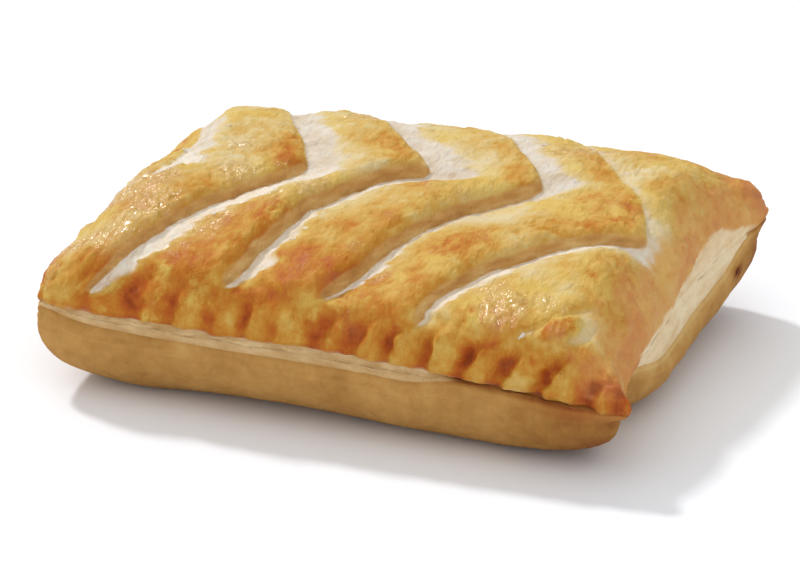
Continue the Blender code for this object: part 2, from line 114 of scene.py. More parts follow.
def by_corner(values, u, v):
    """Blend the four corner values over the rectangle."""
    right = 0.5 + 0.5 * u
    back = 0.5 + 0.5 * v
    front_side = values["front_left"] * (1 - right) + values["front_right"] * right
    back_side = values["back_left"] * (1 - right) + values["back_right"] * right
    return front_side * (1 - back) + back_side * back


# %% The pillow as a function of the plan position
def rounded_plan(u, v, inset, rounding, sharpness, reach=CORNER_REACH):
    """A rectangle with its corners drawn in, over u, v in -1..1."""
    corner = by_corner(rounding, u, v)
    x = (HALF_LENGTH - inset) * u * (1 - corner * np.abs(v) ** sharpness)
    y = (HALF_WIDTH - inset) * v * (1 - 1.2 * corner * np.abs(u) ** sharpness)
    x = x + by_corner(reach, u, v) * np.abs(u) ** 3 * np.abs(v) ** 1.5
    return x, y


def corner_ears(u, v):
    """How far the two right-hand corners are drawn out, in x, y and z."""
    front = (np.clip(u, 0, 1) * np.clip(-v, 0, 1)) ** EAR_SHARPNESS["front"]
    back = (np.clip(u, 0, 1) * np.clip(v, 0, 1)) ** EAR_SHARPNESS["back"]
    return front[..., None] * np.array(EAR_FRONT_RIGHT) + back[..., None] * np.array(EAR_BACK_RIGHT)


def front_bow(u, v):
    """The long front edge stands a little higher towards its middle."""
    from_front = (1 + v) * HALF_WIDTH
    along = hump(u, FRONT_BOW["middle"], FRONT_BOW["spread"])
    return FRONT_BOW["height"] * along * hump(from_front, 0.0, FRONT_BOW["reach"])


def pillow(u, v):
    """The sheet before slits and crimps: plan position u, v in -1..1 to x, y, z."""
    x, y = rounded_plan(u, v, 0.0, CORNER_ROUND, CORNER_SHARPNESS)
    from_left = (1 + u) * HALF_LENGTH
    from_right = (1 - u) * HALF_LENGTH
    from_front = (1 + v) * HALF_WIDTH
    from_back = (1 - v) * HALF_WIDTH
    edge = rise(from_left, EDGE_ROLL) * rise(from_right, EDGE_ROLL)
    edge = edge * rise(from_front, EDGE_ROLL) * rise(from_back, EDGE_ROLL)
    edge = edge * by_corner(EDGE_RISE, u, v)
    crown = CROWN_LEFT + (CROWN_RIGHT - CROWN_LEFT) * smooth_step(0.6 * u + 0.4)
    shoulder = rise(from_left, RISE_LEFT) * rise(from_right, RISE_RIGHT)
    shoulder = shoulder * front_rise(from_front) * rise(from_back, RISE_BACK)
    z = by_corner(RIM_HEIGHT, u, v) + front_bow(u, v) + edge + (crown - edge) * shoulder
    push = corner_ears(u, v)
    return np.stack([x + push[..., 0], y + push[..., 1], z + push[..., 2]], axis=-1)


def outward(u, v):
    """Unit normal of the pillow, from differences of nearby points."""
    nudge = 2e-3
    along = pillow(u + nudge, v) - pillow(u - nudge, v)
    across = pillow(u, v + nudge) - pillow(u, v - nudge)
    normal = np.cross(along, across)
    return normal / np.linalg.norm(normal, axis=-1, keepdims=True)


# %% [markdown]
# ## The sheet laid flat
# Dough is cut and slashed while it is flat, so the slits are easiest to describe there. r
# runs along the length and s across the width, both measured over the dome. Two tables
# turn them back into the plan position, and points spaced evenly in r and s stay evenly
# spaced on the steep shoulders too.

# %% From flat sheet to dome
def arc_table(points):
    """Distance along a polyline, measured from its middle."""
    steps = np.linalg.norm(np.diff(points, axis=0), axis=1)
    length = np.concatenate([[0.0], np.cumsum(steps)])
    return length - length[len(length) // 2]


TABLE = np.linspace(-1.0, 1.0, 801)
FLAT_R = arc_table(pillow(TABLE, np.zeros_like(TABLE)))
FLAT_S = arc_table(pillow(np.zeros_like(TABLE), TABLE))


def from_flat(r, s):
    return np.interp(r, FLAT_R, TABLE), np.interp(s, FLAT_S, TABLE)


print("flat sheet, mm:", round(FLAT_R[-1] - FLAT_R[0], 1), "x", round(FLAT_S[-1] - FLAT_S[0], 1))

# %% [markdown]
# ## Seeded noise
# Nothing on a bake repeats exactly. A small gradient noise, the kind that Blender's Noise
# Texture gives a material, is written here in numpy so that it can move the mesh too. It
# is seeded, so that the script makes the same bake each time.


# %% Gradient noise and its octaves
NOISE_SIZE = 512


def gradient_noise(x, y, seed, wrap=NOISE_SIZE):
    """Smooth random rises and hollows one unit apart, about -1 to 1, repeating every `wrap` in x."""
    x, y = np.broadcast_arrays(np.asarray(x, float), np.asarray(y, float))
    turns = np.random.default_rng(seed).random((NOISE_SIZE, NOISE_SIZE)) * 2 * np.pi
    column = np.floor(x).astype(int)
    row = np.floor(y).astype(int)
    left = x - column
    low = y - row
    ease_x = left**3 * (left * (left * 6 - 15) + 10)
    ease_y = low**3 * (low * (low * 6 - 15) + 10)
    total = np.zeros_like(left)
    for step_x in (0, 1):
        for step_y in (0, 1):
            turn = turns[(column + step_x) % wrap, (row + step_y) % NOISE_SIZE]
            reach = np.cos(turn) * (left - step_x) + np.sin(turn) * (low - step_y)
            weight = (ease_x if step_x else 1 - ease_x) * (ease_y if step_y else 1 - ease_y)
            total += reach * weight
    return 1.5 * total


def layered_noise(x, y, seed, octaves=3):
    """Octaves of gradient noise, each half as tall and half as wide as the one before."""
    total = np.zeros(np.broadcast(x, y).shape)
    for octave in range(octaves):
        scale = 2**octave
        total += gradient_noise(x * scale, y * scale, seed + octave) / scale
    return total


# %% [markdown]
# ## Chevron slits
# Each slit is a bent line on the flat sheet: an apex near the middle and two arms that
# sweep back towards the left. In the oven the left strip puffs and rolls down into the
# slit as a wall in shade, whose tan colour here is painted shade, and the torn inside of
# the dough slopes up again on the right, pale, to the ragged border of the next strip. On
# the back arms the slit gapes wide and flat. A Boolean cut would leave hard blade marks,
# so the slit is a height profile instead.

# %% The slits on the flat sheet
SLITS = (
    {"apex": -49.0, "centre": -10.0, "sweeps": (0.08, 0.25), "growths": (0.001, 0.001),
     "hooks": (0.0, 0.0), "hook_lengths": (8.0, 8.0), "depths": (0.3, 0.9), "ends": (-20.0, 50.0)},
    {"apex": -22.0, "centre": 2.0, "sweeps": (0.46, 0.62), "growths": (0.0012, 0.001),
     "hooks": (1.5, 0.0), "hook_lengths": (6.0, 8.0), "depths": (2.4, 0.8), "ends": (-55.8, 50.0)},
    {"apex": 2.6, "centre": 8.8, "sweeps": (0.234, 0.84), "growths": (0.0, 0.001),
     "hooks": (11.3, 2.9), "hook_lengths": (6.0, 6.0), "depths": (3.2, 0.9), "ends": (-50.0, 50.0)},
    {"apex": 29.0, "centre": 9.0, "sweeps": (0.356, 0.84), "growths": (0.0, 0.001),
     "hooks": (9.4, 1.6), "hook_lengths": (10.0, 6.0), "depths": (2.9, 0.8), "ends": (-49.4, 50.0)},
    {"apex": 58.7, "centre": -3.5, "sweeps": (0.121, 0.82), "growths": (0.0, 0.001),
     "hooks": (37.2, 0.0), "hook_lengths": (20.0, 8.0), "depths": (2.4, 0.5), "ends": (-51.0, 50.0)},
    {"apex": 86.0, "centre": -1.0, "sweeps": (0.94, 0.80), "growths": (0.001, 0.001),
     "hooks": (0.0, 0.0), "hook_lengths": (8.0, 8.0), "depths": (0.7, 0.3), "ends": (-53.5, -29.0)},
)
SLIT_NOSE = 2.5
SLIT_TURN = 5.0
SLIT_END_FADE = (3.6, 9.0)
SLIT_ROLL = (4.0, 4.0)
SLIT_FLOOR = (0.5, 1.5)
SLIT_SLOPE = (14.0, 9.0)
SLOPE_POWER = 1.3
BACK_FADE = 0.55
STRIP_PUFF = 0.36
STRIP_PUFF_REACH = 11.0


def arm_blend(s, slit):
    """0 on a slit's front arm, 1 on its back arm."""
    return smooth_step(0.5 + 0.5 * (s - slit["centre"]) / SLIT_TURN)


def between(pair, blend):
    return pair[0] + (pair[1] - pair[0]) * blend


def slit_depth(s, slit):
    """Depth of a slit at s: its front or back depth, shallower towards the far edge."""
    kept = 1 - BACK_FADE * fade(s, 8.0, 38.0)
    return between(slit["depths"], arm_blend(s, slit)) * kept


def slit_line(s, slit):
    """Where a slit crosses the sheet at s, and how much its arm leans there."""
    reach = np.sqrt((s - slit["centre"]) ** 2 + SLIT_NOSE**2) - SLIT_NOSE
    arm = arm_blend(s, slit)
    sweep = between(slit["sweeps"], arm)
    growth = between(slit["growths"], arm)
    hook = between(slit["hooks"], arm)
    length = between(slit["hook_lengths"], arm)
    faded = np.exp(-reach / length)
    line = slit["apex"] - hook * (1 - faded) - sweep * reach - growth * reach**2
    slope = hook / length * faded + sweep + 2 * growth * reach
    return line, np.cos(np.arctan(slope))


def slit_strength(r, s, slit):
    """1 along a slit, fading out at both its ends and at the ends of the sheet."""
    front = smooth_step((s - slit["ends"][0]) / SLIT_END_FADE[0])
    back = smooth_step((slit["ends"][1] - s) / SLIT_END_FADE[1])
    from_end = np.minimum(r - FLAT_R[0], FLAT_R[-1] - r)
    return front * back * fade(from_end, 1.0, 7.0)


# %% The height profile across a slit
def slit_profile(across, depth, arm):
    """Height over the sheet: a rolled wall down, a floor, then a long slope to the next strip."""
    crest = STRIP_PUFF * depth
    roll_width = between(SLIT_ROLL, arm)
    puff = crest * (1 - smooth_step((-across - roll_width) / STRIP_PUFF_REACH))
    roll = np.clip(1 + across / roll_width, 0.0, 1.0)
    rolled = puff - (crest + depth) * (1 - np.sqrt(1 - roll**2))
    slope = np.clip((across - between(SLIT_FLOOR, arm)) / between(SLIT_SLOPE, arm), 0.0, 1.0)
    return np.where(across < 0, rolled, -depth * (1 - slope) ** SLOPE_POWER)


# %% Hand-cut wobble, and the ragged width of the bare dough on each slit's right side
SLIT_WOBBLE = 0.9
BORDER_RAG = 1.1
WIDTH_SWING = 0.55
PALE_WIDTHS = ((3.0, 6.0), (5.6, 5.4), (4.0, 5.6), (3.0, 4.9), (3.4, 1.6), (1.2, 0.0))
PALE_SHARES = ((1.0, 1.0), (1.0, 1.0), (1.0, 1.0), (0.95, 0.95), (0.95, 0.6), (0.45, 0.0))


def across_slit(r, s, number):
    """Signed distance across a slit, and the blend from its front arm to its back arm."""
    slit = SLITS[number]
    line, lean = slit_line(s, slit)
    wobble = SLIT_WOBBLE * layered_noise(s / 11.0, number * 5.3 + 0.5, 40 + number)
    return (r - line - wobble) * lean, arm_blend(s, slit)


def pale_width(s, number, arm):
    """Width of the bare dough, ragged, and closing to a point at the slit's ends."""
    width = between(PALE_WIDTHS[number], arm)
    width = width * (1 + WIDTH_SWING * layered_noise(s / 13.0, number * 2.9 + 0.5, 66 + number, 2))
    rag = BORDER_RAG * layered_noise(s / 3.1, number * 3.7 + 0.5, 60 + number, 4)
    ends = SLITS[number]["ends"]
    from_tip = s - ends[0]
    blunt_tip = fade(from_tip, -0.4, 2.2) * (0.4 + 0.6 * fade(from_tip, 1.0, 11.0))
    taper = blunt_tip * smooth_step((ends[1] - s) / SLIT_END_FADE[1])
    return (width + rag * np.minimum(width / 2.5, 1.2)) * taper


# %% [markdown]
# ## Crimps
# The two long edges are pressed together with a fork or a crimping wheel. Each press
# leaves a dent with a raised finger of dough beside it. The front dents differ in place,
# width, depth and reach, so they are listed; those at the back, which nobody lines up
# either, are drawn at random around an even pitch.

# %% Crimp dents: middle, half width, depth and reach up the edge
FRONT_CRIMPS = (
    (-52.2, 1.6, 0.4, 4.6), (-41.2, 2.9, 0.8, 9.6), (-32.7, 1.8, 0.8, 8.4), (-24.2, 2.0, 0.5, 5.6),
    (-16.4, 1.5, 0.8, 9.0), (-9.8, 1.7, 0.4, 5.2), (0.5, 3.0, 1.2, 9.2), (8.9, 2.3, 1.1, 8.0),
    (16.6, 1.5, 1.3, 8.2), (24.4, 1.7, 1.5, 9.6), (33.6, 1.6, 1.4, 9.0), (41.4, 2.0, 1.7, 8.4),
    (50.0, 1.5, 1.6, 9.6), (58.4, 1.7, 1.3, 7.0),
)
CRIMP_PITCH = 8.4

crimp_draw = np.random.default_rng(8)
back_middles = np.arange(-52.0, 60.0, CRIMP_PITCH)
BACK_CRIMPS = tuple(
    (middle + crimp_draw.normal(0, 0.8), crimp_draw.uniform(1.2, 2.3),
     crimp_draw.uniform(0.9, 2.2), crimp_draw.uniform(5.0, 8.6))
    for middle in back_middles
)
print(len(FRONT_CRIMPS), "dents in front,", len(BACK_CRIMPS), "at the back")


# %% Shape of a crimp: steep on its right, gentle on its left, with a crest beside it
CRIMP_RIDGE = 1.1
CRIMP_DEPTH = 1.4
CRIMP_LEAN = 0.22
CRIMP_WANDER = 0.7
STEEP_SIDE = (0.8, 2.4)
GENTLE_SIDE = (1.15, 2.0)
CREST_HEIGHT = 0.36
CREST_PLACE = 1.15
CREST_WIDTH = 0.4


def crimp_dents(x, from_edge, crimps):
    """The hollows, 0 to their depth, with a crest beside each, and the same hollows from 0 to 1."""
    hollows = np.zeros_like(x)
    crests = np.zeros_like(x)
    shares = np.zeros_like(x)
    for middle, half_width, depth, reach in crimps:
        lean = CRIMP_LEAN * (1 + math.sin(2.3 * middle))
        wander = CRIMP_WANDER * gradient_noise(from_edge / 3.0, middle / 3.0, 81)
        side = (x - middle - lean * (from_edge - 3.0) - wander) / half_width
        steep = np.exp(-(np.abs(side / STEEP_SIDE[0]) ** STEEP_SIDE[1]))
        gentle = np.exp(-(np.abs(side / GENTLE_SIDE[0]) ** GENTLE_SIDE[1]))
        band = fade(from_edge, reach, 0.5 * reach) * (0.65 + 0.35 * fade(from_edge, 0.0, 2.2))
        share = np.where(side > 0, steep, gentle) * band
        crest = CREST_HEIGHT * depth * hump(side, CREST_PLACE, CREST_WIDTH) * band
        hollows = np.maximum(hollows, depth * share)
        crests = np.maximum(crests, crest)
        shares = np.maximum(shares, share * min(1.0, depth / 0.9))
    return hollows - crests, shares


def crimped_edges(u, from_front, from_back):
    """Lift of both crimped edges, and two masks: the crimped band and the dents in it."""
    front_dents, front_shares = crimp_dents(HALF_LENGTH * u, from_front, FRONT_CRIMPS)
    back_dents, back_shares = crimp_dents(HALF_LENGTH * u, from_back, BACK_CRIMPS)
    from_end = 1.0 - np.abs(u)
    band = fade(np.minimum(from_front, from_back), 9.0, 3.0) * fade(from_end, 0.0, 0.06)
    dents = CRIMP_DEPTH * (front_dents + back_dents) * fade(from_end, 0.0, 0.05)
    return CRIMP_RIDGE * band - dents, band, front_shares + back_shares


# %% [markdown]
# ## Baking the top
# One function gives, for any points of the flat sheet, how far the crust is pushed out
# along its normal, and a few masks from 0 to 1 that the materials read later: how baked
# the crust is, where bare dough shows, where the tan slit walls are with their painted
# shade, which also runs onto the slit floors, and where egg wash shines. Shape and colour
# come from the same numbers, as they do in an oven, where the high places brown first;
# but the fine creases are painted darker and their ridges paler, as painted shade and light.

# %% Where the egg wash lay thick: along, across, radius and amount
GLAZED_PATCHES = (
    (-32.0, -11.0, 5.0, 1.0), (-43.5, -30.5, 5.5, 0.9), (-48.0, -39.0, 7.0, 0.8), (-14.0, -12.0, 4.5, 1.0),
    (38.6, -41.3, 5.0, 1.0), (-52.0, -24.0, 7.0, 0.6), (-38.0, 2.0, 6.0, 0.5), (51.0, -46.0, 3.5, 0.5),
    (30.0, 24.0, 6.0, 0.3), (-20.0, 30.0, 8.0, 0.4), (-58.0, -40.0, 8.0, 0.6), (-29.0, -27.0, 4.0, 0.5),
    (-45.0, -44.0, 4.0, 0.6), (-63.0, -50.0, 6.0, 0.5), (1.0, -31.0, 3.0, 0.4), (10.0, -36.0, 3.5, 0.4),
    (-56.0, -14.0, 6.0, 0.7), (-60.0, -26.0, 6.0, 0.7), (-47.0, -18.0, 5.0, 0.7), (-31.0, -33.0, 5.0, 0.5),
    (-38.0, -40.0, 5.0, 0.4), (-22.0, -18.0, 4.0, 0.6), (34.0, -36.0, 4.0, 0.7), (46.0, -38.0, 4.0, 0.6),
)


def round_patch(r, s, along, across, radius):
    return np.exp(-((r - along) ** 2 + (s - across) ** 2) / radius**2)


def glazed_patches(r, s):
    """Where the egg wash lay thick: it shines, and its skin is creased."""
    total = np.zeros_like(r)
    for along, across, radius, amount in GLAZED_PATCHES:
        total = np.maximum(total, amount * round_patch(r, s, along, across, radius))
    return total


# %% Slow rises and hollows; two of them are named: along, across, length, width and height
SWELLS = ((12.0, 32.0, 26.0, 13.0, 1.5), (-55.0, 6.0, 5.0, 13.0, -1.8))


def from_any_edge(r, s):
    from_edge = np.minimum(s - FLAT_S[0], FLAT_S[-1] - s)
    from_end = np.minimum(r - FLAT_R[0], FLAT_R[-1] - r)
    return np.minimum(from_edge, from_end)


def unevenness(r, s):
    """Gentle rises and hollows of hand-made dough."""
    wave = 0.45 * np.sin(r / 9.0 + 0.8) * np.sin(s / 11.0 + 2.1)
    wave = wave + 0.3 * np.sin(r / 5.3 + s / 8.0 + 1.3)
    wave = wave + 0.2 * np.sin(r / 3.9 - s / 4.6 + 4.0)
    for along, across, length, width, height in SWELLS:
        wave = wave + height * np.exp(-(((r - along) / length) ** 2) - ((s - across) / width) ** 2)
    return wave * fade(from_any_edge(r, s), 0.0, 8.0)


# %% Wrinkles, crinkles and blisters
WRINKLE_HEIGHT = 0.42
CRINKLE_HEIGHT = 0.30
DRAWN_LEAN = 0.46
BLISTER_COUNT = 46
BLISTER_HEIGHT = 0.22


def wrinkles(r, s):
    """Fine creases in the glazed skin that run across the strips, in patches."""
    bend = 1.6 * gradient_noise(r / 11.0, s / 11.0, 11)
    creased = 1 - np.abs(layered_noise(r / 2.1 + bend, s / 6.0, 12, 2)) * 1.7
    drawn_across = (r - DRAWN_LEAN * s) / 2.1 + bend
    drawn_along = (s + DRAWN_LEAN * r) / 7.0
    drawn = 1 - np.abs(layered_noise(drawn_across, drawn_along, 14, 1)) * 2.4
    on_left = fade(r, -26.0, -38.0) * fade(s, 12.0, -2.0)
    creased = creased * (1 - on_left) + drawn * on_left
    patches = smooth_step(0.28 + 0.9 * layered_noise(r / 14.0, s / 14.0, 15, 2) + 0.5 * on_left)
    return creased * np.maximum(patches, glazed_patches(r, s))


def crinkles(r, s):
    """Small pimples and folds of the crust, everywhere, a few millimetres apart."""
    bend = 1.2 * gradient_noise(r / 7.0, s / 7.0, 17)
    ridges = 0.5 - np.abs(layered_noise(r / 2.3 + bend, s / 3.4 - bend, 18, 2))
    lumps = layered_noise(r / 3.6, s / 3.0, 19, 2)
    busy = 0.38 + 0.62 * smooth_step(0.4 + layered_noise(r / 10.0, s / 10.0, 16, 2))
    return (ridges + 0.7 * lumps) * np.maximum(busy, glazed_patches(r, s))


def blisters(r, s):
    """Small rounded bubbles scattered over the crust."""
    draw = np.random.default_rng(21)
    total = np.zeros_like(r)
    for _ in range(BLISTER_COUNT):
        middle_r = draw.uniform(FLAT_R[0] + 8, FLAT_R[-1] - 8)
        middle_s = draw.uniform(FLAT_S[0] + 8, FLAT_S[-1] - 8)
        radius = draw.uniform(0.9, 2.6)
        stretch = draw.uniform(0.6, 1.5)
        distance = np.hypot((r - middle_r) * stretch, (s - middle_s) / stretch) / radius
        bubble = np.sqrt(np.clip(1 - distance**2, 0, 1)) * BLISTER_HEIGHT * radius
        total = np.maximum(total, bubble)
    return total


# %% Browned places named one by one: along, across, radius and amount
BROWN_PATCHES = (
    (-33.0, -42.0, 9.0, 0.16), (-12.0, -38.0, 8.0, 0.12), (3.0, -34.0, 7.0, 0.10),
    (21.0, -27.0, 6.5, 0.14), (26.0, -46.0, 8.0, 0.08), (44.0, -46.0, 6.0, 0.14),
    (-50.0, -54.0, 5.0, 0.14), (66.0, -28.0, 8.0, 0.12), (66.5, -5.7, 5.0, 0.22),
    (50.0, 12.0, 6.0, 0.12), (64.0, 34.0, 9.0, 0.03), (71.0, 50.0, 10.0, 0.24),
    (68.0, -54.0, 6.0, 0.34), (-14.0, 10.0, 6.0, 0.12), (8.0, 14.0, 6.0, 0.08),
    (-23.0, -29.0, 6.0, 0.14), (-24.5, 1.0, 4.0, 0.14), (3.5, 2.0, 4.0, 0.12), (28.0, 5.0, 4.0, 0.10),
    (24.0, -6.8, 8.0, -0.42), (12.0, 18.6, 8.0, -0.12), (-35.0, 13.0, 8.0, -0.14),
    (53.0, -31.0, 8.0, -0.08), (57.5, -40.0, 4.0, -0.30), (60.7, -50.2, 5.0, -0.10),
    (-46.0, -38.5, 6.0, -0.12), (40.0, -24.0, 7.0, -0.08), (66.0, -46.0, 4.0, -0.12),
    (-10.0, -14.0, 7.0, -0.06), (-58.0, -34.0, 6.0, -0.10),
)


def patches_of_brown(r, s):
    total = np.zeros_like(r)
    for along, across, radius, amount in BROWN_PATCHES:
        total += amount * round_patch(r, s, along, across, radius)
    return total


TORN_FLAP = {"along": 51.0, "across": -43.4, "length": 4.6, "width": 2.4, "turn": 47.0, "height": 1.3}
TORN_HOLLOW = {"along": 55.6, "across": -42.4, "length": 4.8, "width": 1.8, "turn": 58.0, "height": -0.7}


def raised_oval(r, s, oval):
    """A turned oval bump, 0 to 1, flat-topped and steep at its border."""
    turn = math.radians(oval["turn"])
    off_r = r - oval["along"]
    off_s = s - oval["across"]
    along = (off_r * math.cos(turn) + off_s * math.sin(turn)) / oval["length"]
    across = (off_s * math.cos(turn) - off_r * math.sin(turn)) / oval["width"]
    rag = 0.25 * layered_noise(r / 1.6, s / 1.6, 91, 2)
    return smooth_step((1.25 + rag - np.hypot(along, across)) / 0.5)


# %% Bare band above the rim of the right end
END_BAND_LEAST = 0.9
END_BAND_MOST = 3.9
END_BAND_MIDDLE = 0.42
END_BAND_SPREAD = 0.34
END_BAND_RAG = 0.8
END_BAND_STEP = 0.5
END_BAND_TONE = 0.42


def end_band(r, s, v):
    """1 where the crust stops short of the rim at the right end, with a ragged border."""
    reach = END_BAND_LEAST + END_BAND_MOST * hump(v, END_BAND_MIDDLE, END_BAND_SPREAD)
    reach = reach * fade(v, -0.66, -0.41) * fade(v, 0.92, 0.62)
    rag = END_BAND_RAG * layered_noise(s / 6.0, r / 8.0, 81, 2) * fade(reach, 0.0, 1.8)
    return smooth_step(reach + rag - (FLAT_R[-1] - r)) * fade(reach, 0.0, 0.5)


# %% What the slits do, each pair of values for their front and back arms
WALL_FOOT = (0.5, 0.0)
BORDER_SOFTNESS = (3.0, 5.0)
GLOW_REACH = (2.4, 5.0)
GLOW_DEPTH = (1.4, 0.5)
LIP_PLACE = -3.4
LIP_WIDTH = 1.8


def cut_slits(r, s):
    """Lift of all slits, and masks: bare dough, tan walls with painted shade that runs onto the slit floors,
    toasted lips and pale borders.
    """
    lift = np.zeros_like(r)
    bare = np.zeros_like(r)
    wall = np.zeros_like(r)
    toasted = np.zeros_like(r)
    border_glow = np.zeros_like(r)
    uneven = np.clip(1 + 0.9 * layered_noise(r / 6.0, s / 6.0, 67, 2), 0.4, 2.0)
    for number, slit in enumerate(SLITS):
        across, arm = across_slit(r, s, number)
        width = pale_width(s, number, arm)
        strength = slit_strength(r, s, slit)
        depth = slit_depth(s, slit)
        lift += slit_profile(across, depth, arm) * strength

        foot = between(WALL_FOOT, arm)
        softness = between(BORDER_SOFTNESS, arm) * uneven
        inside = fade(across, foot - 0.4, foot + 0.4) * smooth_step((width - across) / softness + 0.5)
        share = between(PALE_SHARES[number], arm) * fade(width, 0.0, 0.8) * fade(strength, 0.0, 0.35)
        bare = np.maximum(bare, inside * share)

        # The tan wall colour runs past the wall's foot onto the slit floor, and is stronger in deeper slits:
        # painted shade in the slit.
        shaded_wall_and_floor = fade(across, -1.5, 0.1) * fade(across, foot + 0.7, foot - 0.2)
        shown = fade(depth, 0.0, 2.2) * strength
        wall = np.maximum(wall, shaded_wall_and_floor * shown * (1 - 0.5 * arm))

        lip = hump(across, LIP_PLACE, LIP_WIDTH) * fade(s, slit["centre"] - 14.0, slit["centre"])
        toasted = np.maximum(toasted, lip * fade(depth, 0.0, 1.2) * strength)

        beyond = np.clip(across - width, 0.0, None)
        glow = np.exp(-beyond / between(GLOW_REACH, arm)) * fade(across, -0.3, 0.0)
        glow = glow * fade(depth, 0.0, between(GLOW_DEPTH, arm))
        border_glow = np.maximum(border_glow, glow * strength)
    return lift, bare, wall, toasted, border_glow


# %% Roughness in mm, and browning; each edge has an amount and how far it reaches
CRUST_STEP = 0.3
CRUST_ROUGHNESS = 0.30
TORN_ROUGHNESS = 0.22
BAKED_START = 0.268
BAKED_MOST = 0.86
EDGE_BROWNING = {"front": (0.26, 13.0), "back": (0.12, 7.0), "right": (0.12, 12.0), "left": (0.05, 6.0)}
# How far from the front right corner the painted peach sheen is held off, in mm
SHEEN_CORNER_REACH = 13.0


# %% The baked top: lift along the normal, and the masks
def bake_top(r, s):
    """Returns the lift in mm and a dictionary of masks for points of the flat sheet."""
    u, v = from_flat(r, s)
    inward = {"front": s - FLAT_S[0], "back": FLAT_S[-1] - s, "right": FLAT_R[-1] - r, "left": r - FLAT_R[0]}
    slits, bare, wall, toasted, border_glow = cut_slits(r, s)
    crimps, crimp_band, dented = crimped_edges(u, inward["front"], inward["back"])
    flap = raised_oval(r, s, TORN_FLAP)
    hollow = raised_oval(r, s, TORN_HOLLOW) * (1 - flap)
    bare = np.maximum(bare * (1 - flap), 0.3 * hollow)
    wall = wall * (1 - flap)
    crust = (1 - bare) * (1 - wall)
    on_skin = fade(from_any_edge(r, s), 0.0, 5.0)
    creased = wrinkles(r, s)
    crinkled = crinkles(r, s)
    band = end_band(r, s, v)

    # Height: what is cut, pressed and puffed first, then the finer relief
    lift = slits + crimps + unevenness(r, s)
    lift += TORN_FLAP["height"] * flap + TORN_HOLLOW["height"] * hollow
    lift += WRINKLE_HEIGHT * creased * crust * on_skin
    lift += CRINKLE_HEIGHT * crinkled * (1 - 0.6 * bare) * on_skin
    lift += blisters(r, s) * crust * on_skin
    lift += CRUST_STEP * (1 - bare) * (1 - 0.6 * wall) - CRUST_STEP
    lift += TORN_ROUGHNESS * layered_noise(r / 1.2, s / 2.6, 31, 3) * np.maximum(bare, 0.6 * wall)
    lift += CRUST_ROUGHNESS * layered_noise(r / 7.0, s / 7.0, 35, 3) * on_skin
    lift -= END_BAND_STEP * band

    # Browning: noise, the edges, the listed places, then dents, lips, the slit walls darker as painted
    # shade, and the creases darker with their ridges paler as painted shade and light
    slow = layered_noise(r / 17.0, s / 17.0, 51, 3)
    streaks = layered_noise(r / 5.0, s / 9.0, 54, 3)
    baked = BAKED_START + 0.15 * slow + 0.10 * streaks
    for side, (amount, reach) in EDGE_BROWNING.items():
        baked += amount * np.exp(-inward[side] / reach)
    baked += 0.08 * fade(s, -8.0, -38.0) * fade(r, 40.0, 10.0)
    baked += patches_of_brown(r, s)
    baked += 0.04 * fade(r, 58.0, 66.0) + 0.01 * fade(s, 4.0, 24.0)
    baked += 0.29 * dented - 0.13 * crimp_band * (1 - np.clip(dented, 0, 1))
    baked -= 0.30 * border_glow
    baked += 0.10 * wall + 0.16 * toasted + 0.24 * flap - 0.1 * hollow
    # Creases darker and crinkle ridges paler, following the relief: painted shade and light.
    baked -= 0.10 * (creased - 0.5) * on_skin + 0.12 * (crinkled - 0.3) * on_skin
    baked = np.minimum(baked, BAKED_MOST)

    # The other masks: the peach tint of the right end, a painted sheen that stands for the glaze's
    # reflection, the torn borders and the shine
    at_corner = hump(inward["right"], 0.0, SHEEN_CORNER_REACH) * hump(inward["front"], 0.0, SHEEN_CORNER_REACH)
    peach = fade(r + 6.0 * streaks, 52.0, 68.0) * (1 - at_corner)
    torn_edge = fade(bare, 0.0, 0.4) * fade(bare, 1.0, 0.6) * on_skin
    torn_edge = torn_edge * (1 - np.clip(3.0 * (flap + hollow), 0, 1))
    shine = np.clip(0.15 + 0.3 * slow + glazed_patches(r, s), 0, 1)
    # Less real gloss where the peach sheen is painted.
    shine = shine * (1 - wall) * (1 - 0.7 * bare) * (1 - 0.8 * peach)
    shine = np.maximum(shine, 0.75 * torn_edge * fade(r, 0.0, -20.0) * fade(s, 10.0, -4.0))
    dough_light = (0.3 + 0.7 * fade(s, 8.0, -12.0)) * (1 - band) + END_BAND_TONE * band
    masks = {"baked": baked, "bare": bare, "slit_wall_shade": wall, "shine": shine, "peach": peach,
             "torn_edge": torn_edge, "seam": band, "seam_tone": dough_light}
    return lift, masks


# %% [markdown]
# ## The top as a grid
# The grid's columns crowd together where the slits are and spread out between them. For
# each row a density is laid along r and the columns are placed at equal shares of it, so
# the mesh lines follow the chevrons by themselves and spend their points where the shape
# turns sharply. Each row is then averaged with its neighbours, so that the columns run
# on smoothly from row to row.

# %% Columns that follow the slits, rows that crowd towards the crimps
COLUMNS = 250
ROWS = 200
SLIT_CROWDING = 1.7
CROWDED_PLACE = 0.6
CROWDED_WIDTH = 3.2
FULL_DEPTH = 3.0
EDGE_CROWDING = 0.9
ROW_BLEND = 5


def even_shares(stations, density, count):
    """Places along `stations` that divide the density under them in `count` equal shares."""
    steps = np.diff(stations) * 0.5 * (density[1:] + density[:-1])
    share = np.concatenate([[0.0], np.cumsum(steps)])
    return np.interp(np.linspace(0.0, share[-1], count + 1), share, stations)


